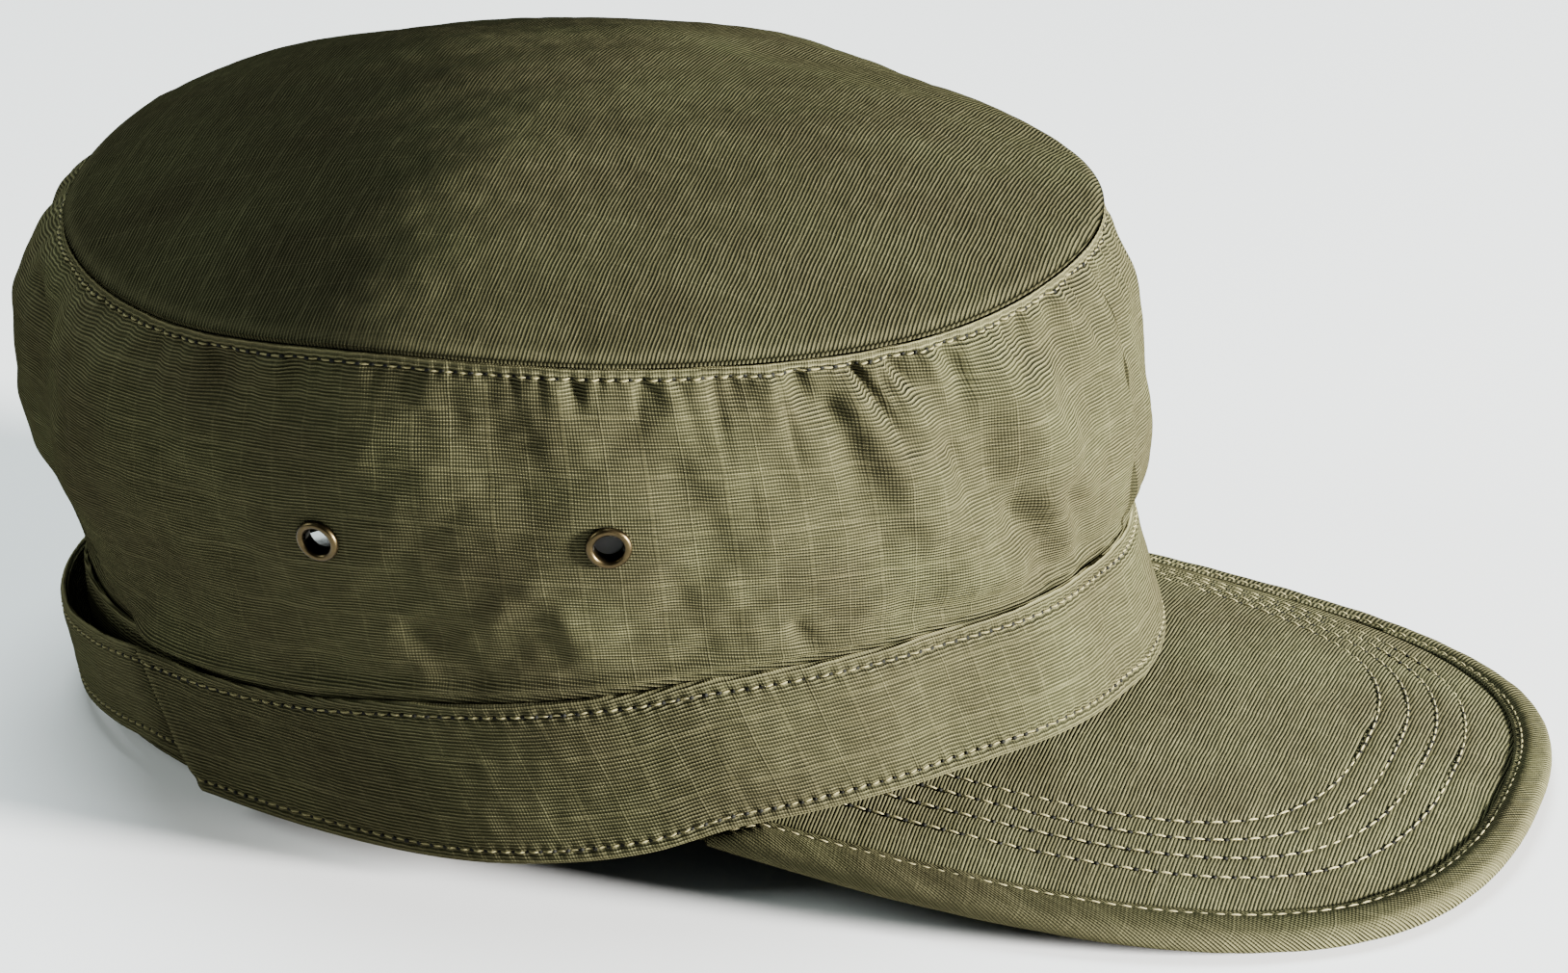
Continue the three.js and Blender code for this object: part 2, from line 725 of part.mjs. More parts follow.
// Round top panel, domed
function crownTop() {
  const turns = spread(0, 360, topColumns).slice(0, topColumns);
  const sections = turns.map((turn) => {
    const outer = topReaches.map((reach) => topPoint(turn, reach));
    const inner = topReaches.map((reach, index) => {
      if (reach === 0) {
        return outer[index].clone().add(new THREE.Vector3(0, 0, -topCloth));
      }
      const near = Math.min(reach, topEdgeShare);
      const normal = surfaceNormal(topPoint, turn, near, topStep.turn, topStep.reach);
      const side = normal.z > 0 ? -topCloth : topCloth;
      return outer[index].clone().addScaledVector(normal, side);
    });
    return [...outer, ...inner.reverse()];
  });
  return loftSections(sections, true);
}

// Band round the front, from slit to slit. Its ends slant forward towards the lower edge.
function band() {
  const shares = spread(-1, 1, bandColumns);
  const surface = (share, drop) => {
    const end = slitTurn - slitSlant * drop;
    return bandPoint(share * end, 1 - drop, 0);
  };
  const sections = shares.map((share) => {
    const outer = bandDrops.map((drop) => surface(share, drop));
    const inner = bandDrops.map((drop) => {
      const normal = surfaceNormal(surface, share, drop, bandStep.share, bandStep.drop);
      return surface(share, drop).addScaledVector(normal, -bandCloth);
    });
    return [...outer, ...inner.reverse()];
  });
  return loftSections(sections, false);
}

// The same strip behind the strap, drawn in, with its lower edge on the surface
function rearBand() {
  const start = slitTurn - slitSlant + slitOverlapTurn;
  const turns = spread(start, 360 - start, backColumns);
  const sections = turns.map((turn) => {
    const sides = [-drawIn(turn), -drawIn(turn) - bandCloth].map((offset) => {
      const high = bandPoint(turn, 1, offset);
      const low = bandPoint(turn, 0, offset);
      return bandDrops.map((drop) => high.clone().lerp(low, drop));
    });
    return [...sides[0], ...sides[1].reverse()];
  });
  return loftSections(sections, false);
}

// Strap across the back, from under one end of the band to under the other
function strapPoint(turn, drop, inset) {
  const folded = turn > 180 ? 360 - turn : turn;
  const shown = Math.max(folded, standOffs[0].turn);
  const share = tableValue(standOffs, "share", shown);
  const lean = strapLean * share * (0.5 - drop);
  const offset = -(bandCloth + gap) * (1 - share) + strapStandOff * share + lean - inset;
  const low = rimHeight(turn);
  const middle = (low + bandTopHeight(turn) - bandTopHeight(180)) / 2;
  const foot = strapFootHeight * tableValue(standOffs, "foot", shown) + Math.max(middle, 0);
  const height = foot + strapWidth * (1 - drop);
  return bandPoint(turn, (height - low) / (bandTopHeight(turn) - low), offset);
}

function rearStrap() {
  const turns = spread(strapTuckTurn, 360 - strapTuckTurn, strapColumns);
  const sections = turns.map((turn) => {
    const outer = bandDrops.map((drop) => strapPoint(turn, drop, 0));
    const inner = bandDrops.map((drop) => strapPoint(turn, drop, strapCloth));
    return [...outer, ...inner.reverse()];
  });
  return loftSections(sections, false);
}

// Peak, with its thickness on both sides of its middle surface
function peak() {
  const sections = spread(-1, 1, peakColumns).map((place) => {
    const frame = peakFrame(place);
    const full = frame.run * frame.slantShare;
    const start = Math.min(bindingCloth + gap, full / 2);
    const insets = peakShares.map((share) => start + (full - start) * share);
    const upper = insets.map((inset) => peakPoint(frame, inset, peakThickness / 2));
    const lower = insets.map((inset) => peakPoint(frame, inset, -peakThickness / 2));
    return [...upper, ...lower.reverse()];
  });
  return loftSections(sections, false);
}

// Strip folded round the edge of the peak, up to where it slips in under the band
function peakBinding() {
  const half = peakThickness / 2 + gap;
  const outside = half + bindingCloth;
  const nose = bindingNose * bindingCloth;
  const bend = nose + bindingCloth / 2;
  const shown = spread(-1, 1, peakColumns).filter((place) => Math.abs(place) < bindingEnd);
  const sections = shown.map((place) => {
    const frame = peakFrame(place);
    const room = frame.run * frame.slantShare - gap;
    const depth = Math.min(bindingDepth, room);
    const outer = [
      [depth, outside],
      [nose, outside],
      [0, bindingFlat * half],
      [0, -bindingFlat * half],
      [nose, -outside],
      [depth, -outside],
    ];
    const inner = [
      [depth, -half],
      [bend, -half],
      [bindingCloth, -bindingFlat * half],
      [bindingCloth, bindingFlat * half],
      [bend, half],
      [depth, half],
    ];
    return [...outer, ...inner].map(([inset, height]) => peakPoint(frame, inset, height));
  });
  return loftSections(sections, false);
}

// Turned eyelet: a barrel through the wall, a flange outside it and one inside
function eyelet(turn) {
  const bore = eyeletBore / 2;
  const barrel = bore + eyeletMetal;
  const rim = eyeletDiameter / 2;
  const upper = eyeletGap;
  const lower = -wallCloth - eyeletGap;
  const profile = [
    [bore, lower - eyeletMetal],
    [rim, lower - eyeletMetal],
    [rim, lower],
    [barrel, lower],
    [barrel, upper],
    [rim, upper],
    [rim - eyeletRounding, upper + eyeletMetal],
    [(rim + bore) / 2, upper + eyeletCrown],
    [bore, upper + eyeletMetal],
    [bore, lower - eyeletMetal],
  ];
  const points = profile.map(([radius, height]) => new THREE.Vector2(radius, height));
  const geometry = new THREE.LatheGeometry(points, eyeletSides);
  const seat = eyeletSeat(turn);
  geometry.applyQuaternion(seat.turnTo);
  geometry.translate(seat.point.x, seat.point.y, seat.point.z);
  return geometry;
}

// Finishes
const cloth = new THREE.MeshStandardMaterial({ color: 0x6e6b4a, roughness: 0.9, metalness: 0 });
const brass = new THREE.MeshStandardMaterial({ color: 0x5a4a2c, roughness: 0.4, metalness: 0.9 });

const cap = new THREE.Group();

function addPiece(name, geometry, finish) {
  const mesh = new THREE.Mesh(geometry, finish.clone());
  mesh.name = name;
  cap.add(mesh);
}

addPiece("crown_top", crownTop(), cloth);
addPiece("crown_wall", crownWall(), cloth);
addPiece("band", band(), cloth);
addPiece("rear_band", rearBand(), cloth);
addPiece("rear_strap", rearStrap(), cloth);
addPiece("peak", peak(), cloth);
addPiece("peak_binding", peakBinding(), cloth);
for (const each of eyeletTurns()) {
  addPiece(each.name, eyelet(each.turn), brass);
}

// The origin is at the middle of the whole cap's footprint, on the surface it stands on
const bounds = new THREE.Box3().setFromObject(cap);
const centre = bounds.getCenter(new THREE.Vector3());
cap.position.set(-centre.x, -centre.y, -bounds.min.z);

export default cap;
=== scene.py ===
# A soft field cap: gathered wall, domed top, stitched band, bound peak, rear strap and brass eyelets.
# The shapes below are worked out in millimetres, in the cap's own frame, and placed in metres.
# A turn is an angle round the cap in degrees: 0 at the front, 90 at the wearer's right, 180 at the back.

import math

import bmesh
import bpy
import numpy as np
from mathutils import Matrix, Vector


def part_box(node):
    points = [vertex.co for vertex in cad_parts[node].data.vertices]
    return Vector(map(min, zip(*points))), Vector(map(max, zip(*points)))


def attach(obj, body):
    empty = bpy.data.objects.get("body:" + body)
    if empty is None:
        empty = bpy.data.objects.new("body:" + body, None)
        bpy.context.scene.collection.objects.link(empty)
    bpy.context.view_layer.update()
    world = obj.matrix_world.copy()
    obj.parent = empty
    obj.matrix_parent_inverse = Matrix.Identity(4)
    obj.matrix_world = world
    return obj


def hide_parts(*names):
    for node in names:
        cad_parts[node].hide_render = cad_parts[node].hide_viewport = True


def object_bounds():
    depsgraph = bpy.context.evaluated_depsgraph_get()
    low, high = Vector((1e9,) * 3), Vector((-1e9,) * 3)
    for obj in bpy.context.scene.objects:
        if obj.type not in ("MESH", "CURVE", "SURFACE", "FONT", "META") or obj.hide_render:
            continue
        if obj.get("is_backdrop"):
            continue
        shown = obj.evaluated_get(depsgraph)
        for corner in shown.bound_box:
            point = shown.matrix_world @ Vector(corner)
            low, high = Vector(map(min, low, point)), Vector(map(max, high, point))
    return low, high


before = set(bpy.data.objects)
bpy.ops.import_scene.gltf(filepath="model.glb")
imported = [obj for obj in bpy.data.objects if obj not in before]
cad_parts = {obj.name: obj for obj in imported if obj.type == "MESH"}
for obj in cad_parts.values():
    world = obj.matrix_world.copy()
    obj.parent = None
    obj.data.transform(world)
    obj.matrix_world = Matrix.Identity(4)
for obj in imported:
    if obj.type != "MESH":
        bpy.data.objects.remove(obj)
CAD_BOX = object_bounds()
MM = 0.001

# Sizes of the head opening and band
RIM_LENGTH = 204.4
RIM_WIDTH = 167.0
RIM_LIFT = 20.4
BAND_TOP_LENGTH = 199.4
BAND_TOP_WIDTH = 165.6
BAND_TOP_SET_BACK = 4.6
BAND_HEIGHT = 25.0
BAND_CLOTH = 1.4
SLIT_TURN = 126.3
SLIT_SLANT = 7.4

# Sizes of the crown
CROWN_LENGTH = 184.8
CROWN_WIDTH = 187.0
CROWN_SET_BACK = 5.4
CROWN_HEIGHT = 99.0
WALL_CLOTH = 1.2
TOP_CLOTH = 1.3
SEAM_WANDER = 5.0
DOME_RISE = 19.3
BULGE_DEPTH = 8.0
FOLD_DEPTH = 3.2
FOLD_WIDTH = 9.0
GATHER_DEPTH = 1.3
GATHER_LENGTH = 16.0
GATHER_FADE = 1.4
GATHER_TURN = 2.6
TOP_DENT_DEPTH = 3.0

# Form of the dome: what it gains towards the back and at both ends, as shares, and its roundness
DOME_SLANT = 0.13
DOME_ENDS = 0.09
DOME_ROUNDNESS = 0.93

# Sizes of the back
REAR_DRAW_IN = 4.2
STRAP_WIDTH = 17.5
STRAP_CLOTH = 1.4
STRAP_STAND_OFF = 0.9
STRAP_LEAN = 2.4
STRAP_TUCK_TURN = 118.0
STRAP_FOOT_HEIGHT = 3.6

# Sizes of the peak
PEAK_REACH = 70.0
PEAK_CORNER_TURN = 66.0
PEAK_CORNER_SPREAD = 1.6
PEAK_TUCK = 3.0
PEAK_THICKNESS = 2.0
PEAK_EDGE_HEIGHT = -1.2
PEAK_FRONT_HEIGHT = 2.3
PEAK_TIP_HEIGHT = 4.3
PEAK_CORNER_RISE = 1.1
PEAK_CORNER_THINNING = 0.5
PEAK_ARCH = 1.2
BINDING_CLOTH = 1.0
BINDING_DEPTH = 7.2

# Sizes of the eyelets
EYELET_DIAMETER = 7.6
EYELET_BORE = 5.0
EYELET_METAL = 0.5
EYELET_SPACING = 50.5
EYELET_TURN = 82.6
EYELET_DROP = 0.5
FLANGE_SEAT = 0.12

# Round an eyelet the folds fade out between these shares of its diameter
CALM_START = 0.9
CALM_END = 2.4

# Clearances
GAP = 0.3
TUCK_LENGTH = 1.0
MOUTH_LIFT = 1.1
PEAK_SEAT_GAP = 0.65

# Shape of the peak's outer edge, as shares of its corner and reach
PEAK_SIDE_BOW = 1.125
PEAK_SIDE_SHARE = 0.79
PEAK_FRONT_SHARE = 0.74
CORNER_SHARPNESS = 14
BINDING_END = 0.98

# Stitches: pitch and length along the row, and thread thickness
FINE_STITCH = (2.5, 1.9, 0.42)
PEAK_STITCH = (3.3, 2.3, 0.4)
BINDING_STITCH = (2.6, 2.1, 0.36)
STITCH_INSET = 2.3
STITCH_GROOVE = 0.32
SEAM_STITCH_INSET = 1.45
BINDING_STITCH_INSET = 1.3
PUCKER_REACH = 1.1

# Rows of stitches on the peak: distance from its edge, and reach to each side as a share of it
PEAK_ROWS = ((16.0, 0.79), (21.3, 0.73), (26.6, 0.68), (31.9, 0.6))

# Needle holes: reach along the row, half width, height of the lip, depth, and lower size as a share
HOLE_REACH = 0.5
HOLE_HALF_WIDTH = 0.4
HOLE_LIP = 0.06
HOLE_DEPTH = 0.3
HOLE_TAPER = 0.6

# Slit of the band, and how the cloth beside a seam lies
SLIT_LIFT = 1.3
BAND_OVERHANG = 1.5
BINDING_DIP = 0.78
BINDING_DIP_REACH = 3.4

# Grids of the cloth: round the cap or along the piece, then across it
WALL_COLUMNS = 1000
WALL_ROWS = 84
TOP_COLUMNS = 720
TOP_RINGS = 98
STRIP_COLUMNS = 46
PEAK_COLUMNS = 700
PEAK_LINES = 120
PEAK_ROW_POINTS = 900
BINDING_COLUMNS = 620

# Drops of the wall's hidden rows, inside the band
HIDDEN_DROPS = (1.15, 1.5, 2)

# The hidden inner faces keep one grid line in so many, and are this much nearer than the cloth is thick
INNER_STEP = 4
INNER_SLACK = 0.1

# Sides and rings of the small round things, and reach of the drill that cuts the eyelet holes
STITCH_SIDES = 6
STITCH_RINGS = 5
HOLE_SIDES = 8
DRILL_SIDES = 40
DRILL_REACH = 5
EYELET_SIDES = 64

# A crisp fold is worked out within this many degrees of its start, and all are this much deeper
FINE_FOLD_TURNS = 26
FINE_FOLD_SHARE = 1.35

# Heights of the slow unevenness and of the fine crepe of each cloth, and of what lies beside its seams
WALL_UNEVEN = 0.4
WALL_CREPE = 0.09
TOP_UNEVEN = 0.3
TOP_CREPE = 0.04
TOP_EDGE_DIP = 0.35
STRIP_UNEVEN = 0.22
STRIP_CREPE = 0.06
STRAP_DIP = 0.7
PEAK_UNEVEN = 0.16
PEAK_GROOVE = 0.3
BINDING_UNEVEN = 0.1
BINDING_PUFF = 0.25
SEAM_PUCKER = 0.2

# Above 0 the wear attribute lightens the cloth, and below 0 it darkens it. The values here are all
# painted: shade on cloth that lies in the dark, light on the strap, and a highlight on the band's cut ends
HIDDEN_SHADE = -0.9
REAR_BAND_SHADE = -0.8
STRAP_SHADE = -0.82
# Painted light that lightens the strap away from the slit
STRAP_PAINTED_LIGHT = 0.45
# Painted highlight on the lifted cut ends of the band
SLIT_END_HIGHLIGHT = 0.7

# Weave: pitch of the ribs and of the threads across them, how far they waver, and the thicker threads
RIB_PITCH = 0.62
WARP_PITCH = RIB_PITCH * 0.8
RIB_WAVER = 0.7
RIP_SPACING = 6.2
RIP_ALONG_SPACING = RIP_SPACING * 0.85
RIP_HALF_WIDTH = 0.3
TOP_RIB_ANGLE = -5
BINDING_RIB_ANGLE = 45

# Colours: high spots, cloth and grooves of the weave, then threads, holes and brass
OLIVE_TINTS = ((0.13, 0.121, 0.062), (0.0455, 0.0425, 0.0205), (0.0082, 0.0092, 0.0055))
# Painted shade: the top panel takes the same cloth's tints, darkened
TOP_PAINTED_SHADE_TINTS = tuple(tuple(0.54 * part for part in tint) for tint in OLIVE_TINTS)
THREAD_COLOUR = (0.125, 0.112, 0.052)
# Painted light: the olive thread made lighter, for the stitches of the lit peak and binding
LIT_THREAD_COLOUR = (0.2, 0.178, 0.088)
# Painted shade: the near black of the needle holes
HOLE_SHADE_COLOUR = (0.003, 0.003, 0.002)
BRASS_DARK = (0.014, 0.011, 0.006)
BRASS_LIGHT = (0.085, 0.062, 0.029)

# Lights: name, place, size, power and colour. All aim at the middle of the cap
LIGHTS = (
    ("key", (-0.02, -2.12, 0.31), 0.45, 790.0, (1.0, 0.985, 0.95)),
    ("top_fill", (0.4, 0.3, 2.0), 1.2, 75.0, (0.85, 0.97, 1.0)),
    ("back", (-0.8, 1.7, 1.1), 1.0, 27.0, (0.9, 1.0, 0.95)),
)
LIGHT_AIM = (0, 0, 0.05)
WORLD_COLOUR = (0.72, 0.88, 0.92)
WORLD_STRENGTH = 0.1
FLOOR_REACH = 6.0

RIM_LIFTS = {
    "turn": (0, 30, 60, 70, 80, 90, 120, 150, 166, 180),
    "share": (1.0, 0.98, 0.7, 0.44, 0.29, 0.225, 0.22, 0.12, 0, 0),
}
BAND_HEIGHTS = {
    "turn": (0, 30, 60, 72, 90, 105, 120, 150, 180),
    "share": (0.93, 0.94, 1.035, 1.135, 1.12, 0.98, 0.92, 0.97, 1.1),
}
SEAM_HEIGHTS = {
    "turn": (0, 30, 60, 90, 120, 150, 175, 200, 225, 270, 300, 330),
    "share": (0.994, 0.985, 1.003, 1.015, 0.978, 0.995, 1.035, 1.025, 0.985, 1.006, 0.962, 0.976),
    "inset": (0, 0, 0, 0, 0, 0.1, 1, 0.6, 0, 0, 0, 0),
}
BULGES = {
    "turn": (0, 45, 83, 120, 150, 180),
    "shoulder": (0.26, 0.22, 0.26, 0.4, 0.6, 0.95),
    "upper": (0.62, 0.6, 0.68, 0.9, 1.12, 1.45),
    "middle": (0.8, 0.74, 0.84, 0.9, 1.1, 1.15),
    "lower": (0.62, 0.42, 0.32, 0.3, 0.3, 0.3),
}
BULGE_DROPS = (0, 0.08, 0.26, 0.56, 0.86, 1)
DRAW_INS = {
    "turn": (0, 104, 112, 118, 123, 140, 180),
    "share": (0, 0, 0.35, 0.78, 0.97, 1, 1),
}
STAND_OFFS = {
    "turn": (128, 138, 150, 180),
    "share": (0, 0.4, 0.7, 0.5),
    "foot": (1.5, 1.22, 0.88, 0.75),
}

# Folds of the wall: turn and drop of both ends, then width and depth as shares
WALL_FOLDS = (
    (33, 0.12, 25, 0.62, 0.9, -0.9),
    (40, 0.08, 34, 0.5, 0.9, 0.7),
    (25, 0.08, 17, 0.55, 0.9, 0.7),
    (14, 0.1, 6, 0.7, 1.1, -0.6),
    (30, 0.62, 10, 0.98, 1.1, -0.6),
    (38, 0.6, 22, 0.98, 1.0, 0.5),
    (62, 0.1, 56, 0.7, 1.5, -0.45),
    (108, 0.1, 104, 0.8, 1.8, -0.5),
    (128, 0.2, 134, 0.95, 1.3, 0.6),
    (143, 0.15, 147, 0.95, 1.0, -1.0),
    (156, 0.2, 158, 0.95, 1.1, 0.6),
    (176, 0.15, 178, 0.95, 1.2, -0.8),
    (200, 0.15, 203, 0.95, 1.1, 0.6),
    (217, 0.15, 213, 0.95, 1.0, -1.0),
    (238, 0.2, 228, 0.95, 1.5, 0.6),
    (300, 0.1, 306, 0.75, 1.4, -0.6),
    (330, 0.1, 338, 0.6, 1.1, -0.7),
)

# Gathers under the seam: turn, length and depth as shares
GATHERS = (
    (4, 0.8, 0.9), (12, 1.2, 1.0), (20, 1.0, 1.0), (28, 1.4, 1.2), (36, 1.2, 1.0), (45, 1.0, 1.0),
    (56, 0.8, 0.8), (66, 1.0, 0.7), (77, 0.8, 0.7), (88, 0.7, 0.6), (98, 1.0, 0.9), (108, 0.9, 0.8),
    (118, 1.3, 0.8), (128, 1.0, 0.7), (140, 1.4, 0.9), (152, 1.0, 0.8), (164, 1.2, 0.9), (176, 1.0, 0.8),
    (188, 1.3, 1.0), (201, 1.0, 0.8), (213, 0.9, 0.9), (226, 1.2, 0.8), (238, 0.8, 0.9), (250, 1.0, 0.7),
    (263, 0.8, 0.8), (275, 1.0, 0.7), (288, 0.9, 0.9), (300, 1.2, 0.9), (312, 1.0, 1.0), (325, 1.2, 0.9),
    (337, 1.0, 1.0), (349, 1.1, 0.9),
)

# Dents and swells of the top panel: turn, reach, width and depth as shares
TOP_DENTS = (
    (150, 0.62, 0.16, -0.8),
    (92, 0.45, 0.18, 0.5),
    (50, 0.5, 0.16, -0.5),
    (12, 0.7, 0.14, 0.6),
    (345, 0.85, 0.1, -0.9),
    (280, 0.5, 0.18, -0.5),
    (215, 0.55, 0.17, 0.6),
)

# Dents of the band: turn, width and depth as shares
BAND_DENTS = (
    (8, 0.9, -0.35),
    (22, 1.0, 0.25),
    (36, 1.1, -0.35),
    (58, 1.6, 0.25),
    (105, 1.6, -0.25),
    (255, 1.6, -0.25),
    (322, 1.2, -0.35),
)

# Crisp small folds of the wall: turn and drop of both ends, then width and depth in millimetres
FINE_FOLDS = (
    (41.2, 0.0, 37.8, 0.3, 1.1, -2.2),
    (37.9, 0.03, 34.6, 0.28, 1.3, 1.2),
    (37.5, 0.0, 35.5, 0.1, 1.1, -1.2),
    (32.5, 0.0, 29.5, 0.34, 1.5, 0.9),
    (30.3, 0.0, 27.5, 0.18, 1.2, -1.0),
    (31.8, 0.36, 31.0, 0.56, 1.6, -0.9),
    (26.5, 0.0, 28.5, 0.4, 1.5, 0.7),
    (47.6, 0.0, 47.8, 0.16, 1.7, -1.7),
    (50.2, 0.0, 49.6, 0.1, 1.4, 0.8),
    (44.8, 0.15, 41.5, 0.55, 2.6, -1.6),
    (54.4, 0.0, 54.0, 0.08, 1.2, -1.0),
    (63.0, 0.0, 62.4, 0.1, 1.3, -1.1),
    (70.5, 0.0, 69.8, 0.14, 1.4, -1.0),
    (99.4, 0.0, 98.4, 0.15, 1.5, -1.0),
    (110.4, 0.0, 108.2, 0.14, 1.6, -1.1),
    (17.2, 0.0, 18.4, 0.2, 1.6, -0.8),
    (10.2, 0.02, 7.2, 0.26, 1.7, 0.9),
    (5.6, 0.0, 4.2, 0.24, 1.6, -0.8),
    (24.0, 0.66, 17.5, 0.96, 3.0, -1.5),
    (15.6, 0.68, 10.0, 0.94, 2.6, -1.3),
    (20.0, 0.66, 14.0, 0.94, 2.4, 0.8),
    (51.6, 0.88, 49.8, 0.98, 1.6, -0.9),
    (64.0, 0.62, 61.0, 0.84, 2.6, -0.9),
    (88.0, 0.78, 84.5, 0.97, 2.8, -0.8),
    (74.0, 0.74, 70.0, 0.94, 2.6, 0.7),
    (80.0, 0.2, 66.0, 0.42, 9.0, -1.2),
    (92.0, 0.62, 80.0, 0.72, 7.0, -1.0),
    (100.0, 0.05, 92.0, 0.5, 6.0, 0.8),
    (58.0, 0.3, 54.0, 0.75, 5.0, 0.8),
    (148.0, 0.15, 133.0, 0.37, 2.6, -1.3),
    (358.8, 0.12, 357.4, 0.58, 2.2, -0.9),
    (318.0, 0.0, 321.0, 0.3, 1.6, -1.3),
    (327.5, 0.0, 331.0, 0.28, 1.5, -1.1),
    (300.0, 0.0, 302.0, 0.2, 1.6, -1.0),
    (262.0, 0.0, 263.0, 0.16, 1.4, -1.0),
    (222.0, 0.05, 226.0, 0.4, 2.2, -1.2),
    (190.0, 0.0, 192.0, 0.3, 1.8, -1.0),
)


# Tables and curves


def hermite(knots, values, place):
    """Smooth value at each place, from knots and values whose last axis is the knots."""
    knots = np.asarray(knots, float)
    index = np.clip(np.searchsorted(knots, place, side="right") - 1, 1, len(knots) - 3)
    slopes = np.zeros_like(values)
    slopes[..., 1:-1] = (values[..., 2:] - values[..., :-2]) / (knots[2:] - knots[:-2])
    span = knots[index + 1] - knots[index]
    share = np.clip((place - knots[index]) / span, 0, 1)

    def pick(array, step):
        if array.ndim == 1:
            return array[index + step]
        return np.take_along_axis(array, (index + step)[..., None], axis=-1)[..., 0]

    square = share * share
    cube = square * share
    return (
        (2 * cube - 3 * square + 1) * pick(values, 0)
        + (cube - 2 * square + share) * pick(slopes, 0) * span
        + (3 * square - 2 * cube) * pick(values, 1)
        + (cube - square) * pick(slopes, 1) * span
    )


def folded(turn):
    """Turn of a place, or of its mirror image on the wearer's right."""
    return np.where(turn > 180, 360 - turn, turn)


def table(rows, column, turn):
    """Value of a table's column at a turn, mirrored when the rows stop at the back."""
    turn = np.mod(np.asarray(turn, float), 360)
    knots = np.array(rows["turn"], float)
    values = np.array(rows[column], float)
    if knots[-1] == 180:
        turn = folded(turn)
        knots = np.concatenate([[-knots[1]], knots, [360 - knots[-2]]])
        values = np.concatenate([[values[1]], values, [values[-2]]])
    else:
        knots = np.concatenate([[knots[-1] - 360], knots, [360, 360 + knots[1]]])
        values = np.concatenate([[values[-1]], values, [values[0], values[1]]])
    return hermite(knots, values, turn)


def smooth_step(start, end, place):
    share = np.clip((place - start) / (end - start), 0, 1)
    return share * share * (3 - 2 * share)


def turn_between(first, second):
    return np.mod(first - second + 540, 360) - 180


def unit(vectors):
    """Vectors of length 1 with the same directions."""
    return vectors / np.maximum(np.linalg.norm(vectors, axis=-1, keepdims=True), 1e-9)


def facing(normals, directions):
    """Normals, all turned round if they point against the directions beside them."""
    return -normals if np.sum(normals * directions) < 0 else normals


def lengths_along(path):
    """Length from the start of a path to each of its points."""
    return np.concatenate([[0], np.cumsum(np.linalg.norm(np.diff(path, axis=0), axis=1))])


def bell(distance, width):
    return np.exp(-((distance / width) ** 2))


# Loops of the cap


def outward(length, width, turn):
    angle = np.radians(turn)
    x = -np.sin(angle) / width
    y = -np.cos(angle) / length
    size = np.hypot(x, y)
    return x / size, y / size


def oval(length, width, set_back, height, turn, offset):
    angle = np.radians(turn)
    out_x, out_y = outward(length, width, turn)
    x = -width / 2 * np.sin(angle) + out_x * offset
    y = -length / 2 * np.cos(angle) + set_back + out_y * offset
    return np.stack([x, y, height + 0 * x], axis=-1)


def rim_lap(sweep):
    """Length along the band of a sweep in degrees."""
    return np.radians(sweep) * (RIM_LENGTH + RIM_WIDTH) / 4


def rim_height(turn):
    return RIM_LIFT * np.maximum(table(RIM_LIFTS, "share", turn), 0)


def band_top_height(turn):
    return rim_height(turn) + BAND_HEIGHT * table(BAND_HEIGHTS, "share", turn)


def seam_height(turn):
    return CROWN_HEIGHT * table(SEAM_HEIGHTS, "share", turn)


def draw_in(turn):
    return REAR_DRAW_IN * np.maximum(table(DRAW_INS, "share", turn), 0)


def band_dent(turn):
    depth = 0 * turn
    for place, width, share in BAND_DENTS:
        depth = depth + share * FOLD_DEPTH * bell(rim_lap(turn_between(turn, place)), width * FOLD_WIDTH)
    return depth


def band_point(turn, rise, offset):
    """Band's outer face: rise is 0 at its lower edge and 1 at its upper edge."""
    dent = band_dent(turn) * np.sin(math.pi * (0.15 + 0.7 * np.clip(rise, 0, 1)))
    low = oval(RIM_LENGTH, RIM_WIDTH, 0, rim_height(turn), turn, offset + dent)
    high = oval(
        BAND_TOP_LENGTH, BAND_TOP_WIDTH, BAND_TOP_SET_BACK, band_top_height(turn), turn, offset + dent
    )
    return low + (high - low) * np.asarray(rise)[..., None]


def seam_point(turn, offset, lift):
    inset = SEAM_WANDER * table(SEAM_HEIGHTS, "inset", turn)
    return oval(CROWN_LENGTH, CROWN_WIDTH, CROWN_SET_BACK, seam_height(turn) + lift, turn, offset - inset)


def eyelet_turns():
    radius = (CROWN_LENGTH + BAND_TOP_LENGTH) / 4 + BULGE_DEPTH
    half = math.degrees(EYELET_SPACING / 2 / radius)
    return {
        "eyelet_right_front": EYELET_TURN - half,
        "eyelet_right_rear": EYELET_TURN + half,
        "eyelet_left_front": 360 - EYELET_TURN + half,
        "eyelet_left_rear": 360 - EYELET_TURN - half,
    }


# The wall


def wall_lap(turn):
    return np.radians(turn) * (CROWN_WIDTH + BAND_TOP_LENGTH) / 4


def wall_fall(turn, drop):
    return drop * (seam_height(turn) - band_top_height(turn))


def calm_near_eyelets(turn, drop):
    """0 round an eyelet and 1 away from it, so that no fold crosses one."""
    calm = 1
    for place in eyelet_turns().values():
        away = np.hypot(wall_lap(turn_between(turn, place)), wall_fall(turn, drop - EYELET_DROP))
        calm = calm * smooth_step(EYELET_DIAMETER * CALM_START, EYELET_DIAMETER * CALM_END, away)
    return calm


def fold_line(turn, drop, line):
    """Distance of wall points from the line of a fold, and how far along it they are, from 0 to 1."""
    start_turn, start_drop, end_turn, end_drop = line
    across = wall_lap(turn_between(turn, start_turn))
    along = wall_fall(turn, drop - start_drop)
    run_across = wall_lap(turn_between(end_turn, start_turn))
    run_along = wall_fall(turn, end_drop - start_drop)
    run = run_across**2 + run_along**2
    place = np.clip((across * run_across + along * run_along) / run, 0, 1)
    return np.hypot(across - place * run_across, along - place * run_along), place


